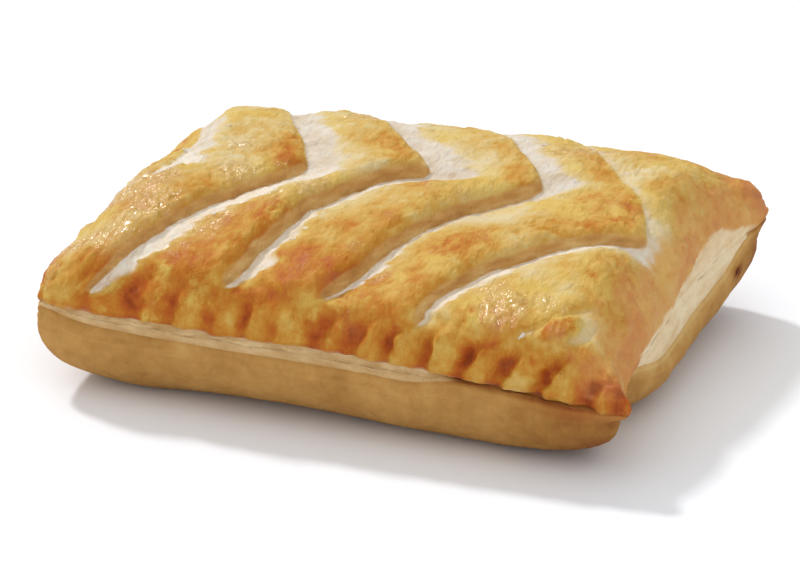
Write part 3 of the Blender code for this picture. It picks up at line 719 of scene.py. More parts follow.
fine_s = np.linspace(FLAT_S[0], FLAT_S[-1], 801)
from_edge = np.minimum(fine_s - fine_s[0], fine_s[-1] - fine_s)
grid_s = even_shares(fine_s, 1 + EDGE_CROWDING * fade(from_edge, 12.0, 7.0), ROWS)
fine_r = np.linspace(FLAT_R[0], FLAT_R[-1], 1601)
grid_r = np.empty((ROWS + 1, COLUMNS + 1))
for row, s in enumerate(grid_s):
    density = np.ones_like(fine_r)
    for slit in SLITS:
        line, lean = slit_line(s, slit)
        closeness = hump((fine_r - line) * lean, CROWDED_PLACE, CROWDED_WIDTH)
        depth = between(slit["depths"], arm_blend(s, slit)) / FULL_DEPTH
        density += SLIT_CROWDING * depth * closeness * slit_strength(line, s, slit)
    grid_r[row] = even_shares(fine_r, density, COLUMNS)
padded = np.pad(grid_r, ((ROW_BLEND, ROW_BLEND), (0, 0)), mode="edge")
grid_r = np.mean([padded[shift : shift + ROWS + 1] for shift in range(2 * ROW_BLEND + 1)], axis=0)
grid_s = np.repeat(grid_s[:, None], COLUMNS + 1, axis=1)
print("top grid:", COLUMNS, "x", ROWS, "finest column step", round(np.diff(grid_r, axis=1).min(), 2), "mm")

# %% Lift the grid off the pillow, and let its rim run a little ragged
RIM_RAG = 0.30
RIM_RAG_REACH = 1.8
RIM_POWER = 12
NORMAL_LIMIT = 0.985

grid_lift, top_masks = bake_top(grid_r, grid_s)
grid_u, grid_v = from_flat(grid_r, grid_s)
inside_u = np.clip(grid_u, -NORMAL_LIMIT, NORMAL_LIMIT)
inside_v = np.clip(grid_v, -NORMAL_LIMIT, NORMAL_LIMIT)
top = pillow(grid_u, grid_v) + outward(inside_u, inside_v) * grid_lift[..., None]
near_rim = np.exp(-from_any_edge(grid_r, grid_s) / RIM_RAG_REACH) * fade(grid_u * grid_v, 0.95, 0.8)
rag_side = layered_noise(top[..., 0] / 5.0, top[..., 1] / 5.0, 71, 3)
rag_up = layered_noise(top[..., 0] / 6.0, top[..., 1] / 6.0, 75, 3)
for axis, place in enumerate((grid_u, grid_v)):
    top[..., axis] += RIM_RAG * near_rim * rag_side * np.sign(place) * np.abs(place) ** RIM_POWER
top[..., 2] += RIM_RAG * near_rim * rag_up
print("top spans, mm:", np.round(np.ptp(top.reshape(-1, 3), axis=0), 1))

# %% [markdown]
# ## The side, ring by ring
# Below the rim the skin goes on as rings of points, each with as many points as the rim:
# round the thin crust edge, in under it to the pale layered strip, out again over the lip
# of the lower sheet, down its belly and round to the flat base. The layers of the strip
# are real steps in the mesh, because their edges catch the light.

# %% Sizes of the side
SHEET_EDGE = 0.9
SEAM_LEAST = 0.5
SEAM_STRIP = 2.8
SEAM_STRIP_RIGHT = 6.2
SEAM_RECESS = 0.3
LAYER_COUNT = 3
WALL_CORNER = {"front_left": 0.015, "front_right": 0.05, "back_left": 0.05, "back_right": 0.04}
WALL_REACH = {"front_left": -0.6, "front_right": 0.0, "back_left": 0.0, "back_right": 4.4}
BELLY_REACH = {"front_left": -0.3, "front_right": 0.0, "back_left": 0.0, "back_right": 3.2}
BELLY_BULGE = 1.1
BELLY_LEAST_DROP = 2.0
BASE_INSET = 14.0
BASE_CORNER = {"front_left": 0.06, "front_right": 0.16, "back_left": 0.12, "back_right": 0.14}
BASE_CORNER_SHARPNESS = 8.0
BASE_REACH = {"front_left": 1.0, "front_right": 0.0, "back_left": 0.0, "back_right": -3.0}
BASE_TURN_HEIGHT = 0.70
FRONT_LEFT = (-1, -1)
FRONT_RIGHT = (1, -1)
BACK_RIGHT = (1, 1)


# %% Where a place on the rim lies, and how high the layered strip is there
def near_corner(u, v, corner, along, across):
    """1 at a corner, fading out over `along` and `across` millimetres."""
    from_end = (u - corner[0]) * HALF_LENGTH
    from_side = (v - corner[1]) * HALF_WIDTH
    return hump(from_end, 0.0, along) * hump(from_side, 0.0, across)


def right_end(u):
    return fade(u, 0.9, 1.0)


def front_side(v):
    return fade(v, -0.9, -1.0)


def side_strip(u, v):
    """Height of the layered strip that shows under the crust, all round the rim."""
    front = front_side(v) * fade(u, 0.55, 0.30)
    left = 0.7 * fade(u, -0.8, -1.0)
    back = 0.7 * fade(v, 0.8, 1.0) * (1 - near_corner(u, v, BACK_RIGHT, 9.0, 9.0))
    narrow = SEAM_STRIP * np.clip(front + left + back, 0.0, 1.0)
    narrow = narrow * (1 - 0.8 * near_corner(u, v, FRONT_LEFT, 7.0, 7.0))
    wide = SEAM_STRIP_RIGHT * right_end(u) * fade(v, -0.82, -0.17) * fade(v, 0.84, 0.54)
    wide = wide * (0.62 + 0.38 * hump(v, -0.12, 0.5))
    return SEAM_LEAST + np.maximum(narrow, wide)


# %% The rim loop, once round anticlockwise from the front left
index = np.arange((ROWS + 1) * (COLUMNS + 1)).reshape(ROWS + 1, COLUMNS + 1)
rim_index = np.concatenate([index[0, :-1], index[:-1, -1], index[-1, :0:-1], index[:0:-1, 0]])
rim = top.reshape(-1, 3)[rim_index]
rim_u = grid_u.ravel()[rim_index]
rim_v = grid_v.ravel()[rim_index]
rim_baked = top_masks["baked"].ravel()[rim_index]
wall_plan = np.stack(rounded_plan(rim_u, rim_v, 0.0, WALL_CORNER, CORNER_SHARPNESS, WALL_REACH), axis=-1)
wall_plan = wall_plan + WALL_EAR_SHARE * corner_ears(rim_u, rim_v)[:, :2]
belly_plan = np.stack(rounded_plan(rim_u, rim_v, 0.0, WALL_CORNER, CORNER_SHARPNESS, BELLY_REACH), axis=-1)
base_plan = rounded_plan(rim_u, rim_v, BASE_INSET, BASE_CORNER, BASE_CORNER_SHARPNESS, BASE_REACH)
base_plan = np.stack(base_plan, axis=-1)
steps = np.linalg.norm(np.roll(wall_plan, -1, axis=0) - wall_plan, axis=1)
around = np.concatenate([[0.0], np.cumsum(steps)[:-1]])
ROUND_LENGTH = steps.sum()
print("rim points:", len(rim_index), "wall length, mm:", round(ROUND_LENGTH, 1))


def loop_normals(plan):
    """Horizontal unit normals of a closed loop, pointing out."""
    along = np.roll(plan, -1, axis=0) - np.roll(plan, 1, axis=0)
    normal = np.stack([along[:, 1], -along[:, 0]], axis=1)
    return normal / np.linalg.norm(normal, axis=1, keepdims=True)


def loop_noise(cell, height, seed, octaves=3):
    """Noise round the loop that meets itself, with features about `cell` mm long."""
    cells = max(2, int(round(ROUND_LENGTH / cell)))
    total = np.zeros(np.broadcast(around, height).shape)
    for octave in range(octaves):
        scale = 2**octave
        place = around / ROUND_LENGTH * cells * scale
        total += gradient_noise(place, height * scale, seed + octave, cells * scale) / scale
    return total


# %% Heights round the rim, and a place to collect the rings and their masks
side_normal = loop_normals(wall_plan)
strip = side_strip(rim_u, rim_v)
rim_height = by_corner(RIM_HEIGHT, rim_u, rim_v) + front_bow(rim_u, rim_v)
seam_top = rim_height - SHEET_EDGE
seam_shown = fade(strip, SEAM_LEAST, SEAM_LEAST + 0.8)
rings = []
MASK_NAMES = ("baked", "bare", "slit_wall_shade", "shine", "belly", "seam", "seam_tone", "peach", "torn_edge")
ring_masks = {name: [] for name in MASK_NAMES}


def add_ring(plan, height, **masks):
    """Keep a ring of points, and its masks, each one number or one for every point."""
    rings.append(np.column_stack([plan, height]))
    for name in ring_masks:
        ring_masks[name].append(np.broadcast_to(masks.get(name, 0.0), len(around)))


def pushed(plan, distance):
    """A plan moved out along the wall's normals, a distance for each point."""
    return plan + distance[:, None] * side_normal


# %% Shift the wall, the belly and the base by the front right corner, and the base along the front
CORNER_OUT = {"wall": 1.8, "belly": 3.2, "base": 0.8}
END_IN = {"wall": 2.2, "belly": 4.2}
FRONT_OUT = {"wall": 1.4, "belly": 0.4, "base": 2.4}
FRONT_BASE = ((-0.22, 0.38, 4.8), (-0.85, 0.22, -2.5))

near_front_right = near_corner(rim_u, rim_v, FRONT_RIGHT, 14.0, 9.0)
wide_front_right = near_corner(rim_u, rim_v, FRONT_RIGHT, 24.0, 14.0)
near_back_right = near_corner(rim_u, rim_v, BACK_RIGHT, 12.0, 12.0)
near_front_left = near_corner(rim_u, rim_v, FRONT_LEFT, 10.0, 10.0)
on_right_end = right_end(rim_u)
on_front_side = front_side(rim_v)
right_near_front = hump(rim_v, -0.66, 0.22) * on_right_end
wall_plan[:, 0] += CORNER_OUT["wall"] * near_front_right - END_IN["wall"] * right_near_front
wall_plan[:, 1] -= FRONT_OUT["wall"] * near_front_right
belly_plan[:, 0] += CORNER_OUT["belly"] * near_front_right - END_IN["belly"] * right_near_front
belly_plan[:, 1] -= FRONT_OUT["belly"] * wide_front_right
base_plan[:, 0] += CORNER_OUT["base"] * near_front_right
base_plan[:, 1] -= FRONT_OUT["base"] * wide_front_right
for middle, spread, inward in FRONT_BASE:
    base_plan[:, 1] += inward * hump(rim_u, middle, spread) * on_front_side

# %% Rings of the crust edge, listed by their share of its thickness
EDGE_SHARES = (0.18, 0.45, 0.75, 1.0)
SEAM_TONE = {"start": 0.16, "right_end": 0.38, "noise": 0.14, "front_right": -0.12}

rim_band = top_masks["seam"].ravel()[rim_index]
edge_thickness = SHEET_EDGE * (1 + 0.35 * loop_noise(7.0, 0.5, 101))
edge_thickness += 3.0 * near_front_right**2 + 0.8 * near_front_left
seam_tone = SEAM_TONE["start"] + SEAM_TONE["right_end"] * on_right_end
seam_tone += SEAM_TONE["noise"] * loop_noise(9.0, 0.5, 125)
seam_tone += SEAM_TONE["front_right"] * wide_front_right * (1 - on_right_end)
# On the right end the crust edge carries the painted peach sheen of the top.
for share in EDGE_SHARES:
    swell = (0.32 + 0.7 * near_front_right**2) * math.sin(math.pi * share) - 0.15 * share
    add_ring(
        pushed(rim[:, :2], swell * (1 - 0.85 * rim_band)), rim[:, 2] - edge_thickness * share,
        baked=rim_baked + 0.05, shine=0.3 * (1 - share), bare=0.3 * share * (1 - near_front_right),
        belly=0.3 * share, peach=on_right_end * (1 - near_front_right), seam=rim_band, seam_tone=seam_tone,
    )

# %% Rings of the layered strip
SEAM_RINGS = 15

lip_stand = 0.05 + 0.6 * on_front_side * fade(rim_u, 0.1, 0.6) + 0.22 * loop_noise(8.0, 0.5, 131)
lip_stand += 0.7 * near_front_right + 0.4 * near_front_left - 0.4 * near_back_right
rim_stand = ((rim[:, :2] - wall_plan) * side_normal).sum(axis=1)
first_seam_ring = len(rings)
for share in np.linspace(0.0, 1.0, SEAM_RINGS):
    layer = share * LAYER_COUNT
    leaf = np.minimum(np.floor(layer), LAYER_COUNT - 1)
    groove = 0.04 * abs(2 * (layer - leaf) - 1) ** 2
    stand = 0.25 * loop_noise(9.0, leaf * 7.3, 111) + 0.45 * loop_noise(4.5, share * 1.3, 113) - groove
    tucked = SEAM_RECESS * (1 - 0.6 * on_right_end) * math.cos(math.pi / 2 * share) ** 2
    tucked = tucked * (1 - rim_band) - 0.4 * seam_shown * math.sin(math.pi * share)
    flush = rim_band * (1 - share) ** 2
    stand = stand * (1 - flush) + rim_stand * flush
    sag = 0.3 * loop_noise(14.0, 0.5, 121) * math.sin(math.pi * share)
    add_ring(
        pushed(wall_plan, stand * (1 - share**4) - tucked + lip_stand * share),
        seam_top - 0.2 - (strip - 0.2) * share + sag,
        baked=0.75 - (0.45 - 0.25 * share) * seam_shown, seam=seam_shown, belly=1.0,
        seam_tone=seam_tone - 0.15 * share,
    )

# %% Rings of the lip; each has its drop, how far it is out, and its browning
LIP_RINGS = ((0.15, 0.15, 0.48), (0.5, 0.6, 0.46), (1.0, 1.0, 0.42))
LIP_ROUND = 0.25
CORNER_BROWN = {"front": 0.24, "back": 0.36}

corner_brown = CORNER_BROWN["front"] * near_front_right + CORNER_BROWN["back"] * near_back_right
for drop, out, browned in LIP_RINGS:
    line = 0.25 * (1 - seam_shown) * (1 - out)
    add_ring(
        pushed(wall_plan, lip_stand + LIP_ROUND * out), seam_top - strip - drop,
        baked=browned - 0.26 * on_right_end + corner_brown + line, belly=1.0, peach=near_front_right,
    )

# %% Rings of the belly: out from the lip, and round to the base
BELLY_RINGS = 7
BELLY_TURNS = 13
BELLY_START = 1.3

belly_plan = belly_plan + BELLY_BULGE * side_normal
belly_top = seam_top - strip - BELLY_START
belly_turn = np.minimum(rim_height * BASE_TURN_HEIGHT, belly_top - BELLY_LEAST_DROP)
for share in np.linspace(0.12, 0.9, BELLY_RINGS):
    out = math.sin(share * math.pi / 2) ** (0.7 + near_front_right)
    plan = wall_plan * (1 - out)[:, None] + belly_plan * out[:, None]
    dimple = 0.35 * loop_noise(10.0, share * 1.4 + 0.3, 141, 4)
    add_ring(
        pushed(plan, (lip_stand + LIP_ROUND) * (1 - out) + dimple),
        belly_top + (belly_turn - belly_top) * share,
        baked=0.42 - 0.12 * on_right_end * (1 - share) + corner_brown, belly=1.0,
        peach=near_front_right * (1 - 0.6 * share),
    )
for angle in np.linspace(0.0, math.pi / 2, BELLY_TURNS):
    inset = 1 - math.cos(angle)
    dimple = 0.38 * loop_noise(10.0, 1.7 + angle, 141, 4) * math.cos(angle)
    add_ring(
        pushed(belly_plan * (1 - inset) + base_plan * inset, dimple), belly_turn * (1 - math.sin(angle)),
        baked=0.46 + 0.2 * inset + corner_brown, belly=1.0,
    )

# %% Rings of the base, listed by their share of its size, with slight hollows
BASE_SHARES = (0.93, 0.82, 0.68, 0.52, 0.36, 0.2, 0.08)
BASE_HOLLOW = 0.35
BASE_MIDDLE = (0.0, 0.0, 0.15)

for share in BASE_SHARES:
    hollows = gradient_noise(base_plan[:, 0] * share / 9, base_plan[:, 1] * share / 9, 151)
    add_ring(base_plan * share, BASE_HOLLOW * np.clip(hollows, 0, 1), baked=0.7, belly=1.0)

# %% A burnt spot on the right end: its place and size, across and up
BURNT_SPOT = (31.5, 14.4)
BURNT_SIZE = (1.9, 1.2)
BURNT_AMOUNT = 0.9

for ring_number, ring in enumerate(rings):
    burnt = hump(ring[:, 1], BURNT_SPOT[0], BURNT_SIZE[0]) * hump(ring[:, 2], BURNT_SPOT[1], BURNT_SIZE[1])
    burnt = burnt * (rim_u > 0.99)
    ring_masks["baked"][ring_number] = ring_masks["baked"][ring_number] + BURNT_AMOUNT * burnt
print("rings:", len(rings))

# %% [markdown]
# ## One closed skin
# The grid, the rings and a last point under the middle are joined into one mesh. numpy
# builds the face table in one go, which is much quicker than adding faces one by one. The
# masks become attributes of the mesh, where the material can read them.

# %% Join grid, rings and base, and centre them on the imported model
CENTRE_SHIFT = 1.602


def skin_faces():
    """Quads of the grid, quads between the rings, and the fan that closes the base."""
    quads = np.stack([index[:-1, :-1], index[:-1, 1:], index[1:, 1:], index[1:, :-1]], axis=-1)
    faces = quads.reshape(-1, 4).tolist()
    count = len(rim_index)
    above = rim_index
    start = index.size
    for _ in rings:
        below = np.arange(start, start + count)
        ring = np.stack([below, np.roll(below, -1), np.roll(above, -1), above], axis=1)
        faces += ring.tolist()
        above = below
        start += count
    fan = np.stack([np.full(count, start), np.roll(above, -1), above], axis=1)
    return faces + fan.tolist()


skin_points = np.concatenate([top.reshape(-1, 3), *rings, [BASE_MIDDLE]])
skin_points[:, 0] -= CENTRE_SHIFT
skin_mesh = bpy.data.meshes.new("pastry_skin")
skin_mesh.from_pydata(skin_points * MM, [], skin_faces())
skin_mesh.update()


def set_mask(mesh, name, values):
    attribute = mesh.attributes.new(name, "FLOAT", "POINT")
    attribute.data.foreach_set("value", np.asarray(values, np.float32))


for name, values in ring_masks.items():
    on_top = top_masks.get(name, np.zeros_like(grid_r)).ravel()
    set_mask(skin_mesh, name, np.concatenate([on_top, *values, [values[-1][0]]]))

pastry_skin = bpy.data.objects.new("pastry_skin", skin_mesh)
bpy.context.scene.collection.objects.link(pastry_skin)
skin_mesh.shade_smooth()
triangles = sum(len(face.vertices) - 2 for face in skin_mesh.polygons)
print("skin:", len(skin_points), "points,", triangles, "triangles")


# %% [markdown]
# ## Materials
# Two small helpers keep the node trees readable: one makes a node, sets its options and
# joins its inputs in one call, and the other returns one of the new node's outputs.

# %% Helpers for node trees
def add_node(tree, kind, inputs=None, **options):
    """Make a node; inputs maps a socket's name or number to a value or to another socket."""
    node = tree.nodes.new(kind)
    for name, value in options.items():
        setattr(node, name, value)
    for key, value in (inputs or {}).items():
        if isinstance(value, bpy.types.NodeSocket):
            tree.links.new(value, node.inputs[key])
        else:
            node.inputs[key].default_value = value
    return node


def from_node(tree, kind, output, inputs=None, **options):
    """Make a node and return one of its outputs, given by name or number."""
    return add_node(tree, kind, inputs, **options).outputs[output]


def linear(red, green, blue):
    """A colour picked as it looks on screen, 0 to 255, as the linear values that shaders use."""
    parts = []
    for part in (red, green, blue):
        part = part / 255
        parts.append(part / 12.92 if part <= 0.04045 else ((part + 0.055) / 1.055) ** 2.4)
    return (*parts, 1.0)


class Paint:
    """Short names for the nodes that a pastry material uses again and again."""

    def __init__(self, name):
        self.material = bpy.data.materials.new(name)
        self.material.use_nodes = True
        self.tree = self.material.node_tree
        self.shader = self.tree.nodes["Principled BSDF"]
        self.place = self.result("TexCoord", "Object")

    def result(self, kind, output, inputs=None, **options):
        return from_node(self.tree, "ShaderNode" + kind, output, inputs, **options)

    def mask(self, name):
        return self.result("Attribute", "Fac", attribute_name=name)

    def noise(self, scale, detail=3.0, stretch=None, distortion=0.0):
        place = self.place
        if stretch:
            place = self.result("Mapping", "Vector", {"Vector": place, "Scale": stretch})
        inputs = {"Vector": place, "Scale": scale, "Detail": detail, "Distortion": distortion}
        return self.result("TexNoise", "Fac", inputs)

    def cells(self, scale, stretch, bend=0.0035):
        """Distance to the nearest border of irregular cells, bent by noise."""
        shift = self.result("TexNoise", "Color", {"Vector": self.place, "Scale": scale * 0.6})
        shift = self.result("VectorMath", "Vector", {0: shift, 1: (bend,) * 3}, operation="MULTIPLY")
        moved = self.result("VectorMath", "Vector", {0: self.place, 1: shift}, operation="ADD")
        place = self.result("Mapping", "Vector", {"Vector": moved, "Scale": stretch})
        inputs = {"Vector": place, "Scale": scale}
        return self.result("TexVoronoi", "Distance", inputs, feature="DISTANCE_TO_EDGE")

    def math(self, operation, first, second=0.0, third=0.0, clamp=False):
        inputs = {0: first, 1: second, 2: third}
        return self.result("Math", "Value", inputs, operation=operation, use_clamp=clamp)

    def add(self, value, *parts):
        """Add noises or masks to a value, each with its amount."""
        for part, amount in parts:
            value = self.math("MULTIPLY_ADD", part, amount, value)
        return value

    def spread(self, value, from_low, from_high, to_low=0.0, to_high=1.0):
        """Map a range of values smoothly to another range."""
        inputs = {"Value": value, "From Min": from_low, "From Max": from_high}
        inputs.update({"To Min": to_low, "To Max": to_high})
        return self.result("MapRange", "Result", inputs, interpolation_type="SMOOTHSTEP")

    def mix(self, share, first, second):
        inputs = {"Factor": share, 6: first, 7: second}
        return self.result("Mix", 2, inputs, data_type="RGBA")

    def ramp(self, value, stops):
        node = add_node(self.tree, "ShaderNodeValToRGB", {"Fac": value})
        elements = node.color_ramp.elements
        while len(elements) < len(stops):
            elements.new(0.5)
        for element, (position, colour) in zip(elements, stops):
            element.position = position
            element.color = linear(*colour)
        return node.outputs["Color"]

    def bump(self, height, distance, strength):
        inputs = {"Height": height, "Distance": distance, "Strength": strength}
        return self.result("Bump", "Normal", inputs)

    def finish(self, **sockets):
        for name, value in sockets.items():
            socket = self.shader.inputs[name.replace("_", " ")]
            if isinstance(value, bpy.types.NodeSocket):
                self.tree.links.new(value, socket)
            else:
                socket.default_value = value
        return self.material


# %% [markdown]
# ### The skin
# Egg-washed crust runs from pale yellow through gold and amber to red-brown as it bakes,
# so its colour is a ramp over the baked mask, shaken by noise at several sizes. The crinkle
# noise that makes the relief also paints its ridges paler and its hollows darker, which is
# painted light and shade, and the peach tint of the right end is a painted sheen. The bare
# dough, the tan slit walls with their painted shade, and the belly of the lower sheet are
# mixed over it by their own masks. Noise added to a mask before its range is mapped gives
# a soft, ragged border with more detail than the mesh has.

# %% Colours as they look on screen, each ramp as places and colours
CRUST_RAMP = (
    (0.00, (214, 196, 154)), (0.18, (208, 180, 116)), (0.34, (202, 162, 82)),
    (0.48, (194, 140, 54)), (0.62, (186, 116, 36)), (0.80, (174, 86, 28)), (1.00, (132, 54, 20)),
)
DOUGH_RAMP = ((0.30, (190, 171, 144)), (0.45, (203, 188, 168)), (0.62, (212, 203, 190)))
PALE_DOUGH_RAMP = ((0.30, (216, 198, 168)), (0.45, (226, 212, 190)), (0.62, (232, 224, 210)))
# Tan of the slit walls and floors: painted shade in the slits.
WALL_SHADE_RAMP = ((0.3, (180, 130, 72)), (0.5, (198, 152, 90)), (0.7, (212, 176, 116)))
SEAM_RAMP = (
    (0.15, (188, 148, 98)), (0.40, (202, 168, 118)), (0.65, (222, 194, 150)), (0.95, (236, 218, 182)),
)
BELLY_RAMP = (
    (0.10, (210, 174, 112)), (0.35, (191, 146, 83)), (0.60, (165, 118, 59)),
    (0.82, (138, 84, 38)), (1.00, (84, 30, 14)),
)
BUTTERY = linear(214, 184, 94)
GOLDEN = linear(208, 164, 70)
# A painted sheen for the right end of the crust.
PEACH_SHEEN = linear(218, 160, 104)
CORNER_TAN = linear(168, 92, 42)

# %% How baked each point is, with noise at several sizes
paint = Paint("glazed_crust")
cloudy = paint.noise(95.0, 4.0)
mottled = paint.noise(330.0, 4.0, distortion=0.4)
specks = paint.noise(1500.0, 3.0)
crinkle = paint.noise(650.0, 5.0, stretch=(1.3, 0.6, 0.8), distortion=0.8)
crackle = paint.cells(300.0, stretch=(1.0, 0.6, 0.8))
crackle_line = paint.spread(crackle, 0.16, 0.0)
patchy = paint.spread(paint.noise(120.0, 2.0), 0.45, 0.62)
crackled = paint.math("MULTIPLY", crackle_line, patchy)
# The crinkle relief also sets the colour: ridges paler, hollows darker, as painted light and shade.
shaken = ((cloudy, 0.40), (mottled, 0.34), (crinkle, -0.24), (specks, 0.12), (crackled, 0.06))
baked = paint.math("SUBTRACT", paint.add(paint.mask("baked"), *shaken), 0.305, clamp=True)

# %% Colour of the glazed crust
crust = paint.ramp(baked, CRUST_RAMP)
buttery = paint.spread(paint.noise(70.0, 3.0), 0.46, 0.64, 0.0, 0.55)
pale_enough = paint.spread(baked, 0.62, 0.40)
crust = paint.mix(paint.math("MULTIPLY", buttery, pale_enough), crust, BUTTERY)
crust = paint.mix(paint.spread(paint.mask("shine"), 0.25, 0.9, 0.0, 0.45), crust, GOLDEN)
# The peach tint is a painted sheen: the glaze's reflection on the right end, painted into the colour.
crust = paint.mix(paint.math("MULTIPLY", paint.mask("peach"), 0.5), crust, PEACH_SHEEN)

# %% Colours of the bare dough, the slit walls with their painted shade, the seam and the belly
layers = paint.noise(300.0, 4.0, stretch=(0.6, 0.6, 1.9))
dough_tone = paint.math("MULTIPLY_ADD", mottled, 0.5, paint.math("MULTIPLY", layers, 0.5))
dough = paint.ramp(dough_tone, DOUGH_RAMP)
dough = paint.mix(paint.mask("seam_tone"), dough, paint.ramp(dough_tone, PALE_DOUGH_RAMP))
slit_wall_shade = paint.ramp(paint.noise(300.0, 4.0, stretch=(0.6, 0.6, 1.6)), WALL_SHADE_RAMP)
seam = paint.ramp(paint.add(paint.mask("seam_tone"), (layers, 0.7)), SEAM_RAMP)
belly_shade = paint.add(paint.mask("baked"), (cloudy, 0.5), (mottled, 0.3))
belly = paint.ramp(paint.math("SUBTRACT", belly_shade, 0.4, clamp=True), BELLY_RAMP)
belly = paint.mix(paint.math("MULTIPLY", paint.mask("peach"), 0.45), belly, CORNER_TAN)

# %% Mix the colours by their masks, the bare dough last
wall_shade_share = paint.spread(paint.add(paint.mask("slit_wall_shade"), (mottled, 0.3)), 0.30, 0.85)
bare_share = paint.spread(paint.add(paint.mask("bare"), (mottled, 0.80)), 0.52, 1.28)
belly_share = paint.mask("belly")
seam_share = paint.mask("seam")
# The tan of the slit walls and floors, painted shade, goes over the crust.
colour = paint.mix(wall_shade_share, crust, slit_wall_shade)
colour = paint.mix(belly_share, colour, belly)
colour = paint.mix(seam_share, colour, seam)
colour = paint.mix(bare_share, colour, dough)

# %% Relief and gloss: the glaze is a coat, wet where it lay thick, and bare dough is dry
bubbly = paint.spread(crackle, 0.0, 0.35)
height = paint.add(crinkle, (specks, 0.3), (bubbly, 0.5))
dry_side = paint.math("MAXIMUM", belly_share, seam_share)
dryness = paint.math("MAXIMUM", bare_share, paint.math("MAXIMUM", wall_shade_share, dry_side))
gloss = paint.spread(paint.add(paint.mask("shine"), (mottled, 0.3)), 0.2, 1.1, 0.60, 0.44)
roughness = paint.add(gloss, (dryness, 0.3))
coat = paint.spread(paint.add(paint.mask("shine"), (mottled, 0.5)), 0.50, 1.05)
rippled = paint.noise(450.0, 2.0, stretch=(1.3, 0.7, 0.8), distortion=0.8)
wet_relief = paint.add(rippled, (bubbly, 0.3))
skin_paint = paint.finish(
    Base_Color=colour, Roughness=roughness, Normal=paint.bump(height, 0.0008, 0.60),
    Coat_Weight=coat, Coat_Roughness=0.23, Coat_IOR=1.65, Coat_Normal=paint.bump(wet_relief, 0.0020, 1.0),
    IOR=1.45, Specular_IOR_Level=0.15,
    Subsurface_Weight=0.12, Subsurface_Scale=0.0016, Subsurface_Radius=(1.0, 0.55, 0.25),
)
skin_mesh.materials.append(skin_paint)
print("skin material:", len(paint.tree.nodes), "nodes")

# %% [markdown]
# ## Small things that repeat: Geometry Nodes
# Two kinds of detail repeat too often to place by hand: the thin leaves of dough that
# show in the seam, and the shreds torn loose at the borders of the slits. Each is a
# Geometry Nodes tree built here with named inputs and a fixed seed. The result is turned
# into a plain mesh at once, so each piece is ordinary geometry.


# %% Helpers: a tree with named inputs, and baking its result to a plain mesh
def new_tree(name, **inputs):
    """A Geometry Nodes tree with a geometry input and the named inputs, each float or int."""
    tree = bpy.data.node_groups.new(name, "GeometryNodeTree")
    tree.interface.new_socket("Geometry", in_out="INPUT", socket_type="NodeSocketGeometry")
    for label, number in inputs.items():
        kind = "NodeSocketInt" if number is int else "NodeSocketFloat"
        tree.interface.new_socket(label, in_out="INPUT", socket_type=kind)
    tree.interface.new_socket("Geometry", in_out="OUTPUT", socket_type="NodeSocketGeometry")
    return tree, add_node(tree, "NodeGroupInput").outputs


def wander(tree, noise_scale, detail, length):
    """A vector that follows smooth noise, each part of it at most about half of `length`."""
    noise = from_node(tree, "ShaderNodeTexNoise", "Color", {"Scale": noise_scale, "Detail": detail})
    inputs = {0: noise, 1: (0.5, 0.5, 0.5)}
    centred = from_node(tree, "ShaderNodeVectorMath", "Vector", inputs, operation="SUBTRACT")
    inputs = {0: centred, "Scale": length}
    return from_node(tree, "ShaderNodeVectorMath", "Vector", inputs, operation="SCALE")


def store(tree, geometry, name, value):
    """Store a number on every point, for the material to read as a mask."""
    inputs = {"Geometry": geometry, "Name": name, "Value": value}
    return from_node(tree, "GeometryNodeStoreNamedAttribute", "Geometry", inputs)


def finish_tree(tree, geometry, material, smooth=True):
    """Realize the instances, shade them, give them their material and join the output."""
    real = from_node(tree, "GeometryNodeRealizeInstances", "Geometry", {"Geometry": geometry})
    inputs = {"Geometry": real, "Shade Smooth": smooth}
    shaded = from_node(tree, "GeometryNodeSetShadeSmooth", "Geometry", inputs)
    inputs = {"Geometry": shaded, "Material": material}
    painted = from_node(tree, "GeometryNodeSetMaterial", "Geometry", inputs)
    add_node(tree, "NodeGroupOutput", {"Geometry": painted})


def bake_piece(name, source_mesh, tree, **values):
    """Run the tree on a mesh and keep the result as a plain mesh object."""
    piece = bpy.data.objects.new(name, source_mesh)
    bpy.context.scene.collection.objects.link(piece)
    modifier = piece.modifiers.new(name, "NODES")
    modifier.node_group = tree
    for item in tree.interface.items_tree:
        if item.in_out == "INPUT" and item.name in values:
            modifier[item.identifier] = values[item.name]
    evaluated = piece.evaluated_get(bpy.context.evaluated_depsgraph_get())
    mesh = bpy.data.meshes.new_from_object(evaluated)
    mesh.name = name
    piece.modifiers.remove(modifier)
    piece.data = mesh
    count = sum(len(face.vertices) - 2 for face in mesh.polygons)
    print(name, "has", count, "triangles")
    return piece


# %% [markdown]
# ### Leaves in the seam
# Puff pastry is dough folded with butter many times, and where the edge is cut the
# leaves part. Each leaf here starts as a line of points taken from one ring of the seam.
# The tree turns the line into a curve, shakes it, and sweeps a thin flat section along it.

# %% Lines for the leaves, taken from one of the seam's rings where the strip shows on the front
LEAF_RING = 7
LEAF_STANDS_OUT = -0.02
LEAF_STEP = 3
LEAF_SHOWN = 0.75


def leaf_can_start(place):
    """Whether the strip shows, here and one step on, away from the back and the ends."""
    shown = min(seam_shown[place], seam_shown[place + LEAF_STEP]) > LEAF_SHOWN
    return shown and rim_v[place] < 0.8 and abs(rim_u[place]) < 0.9


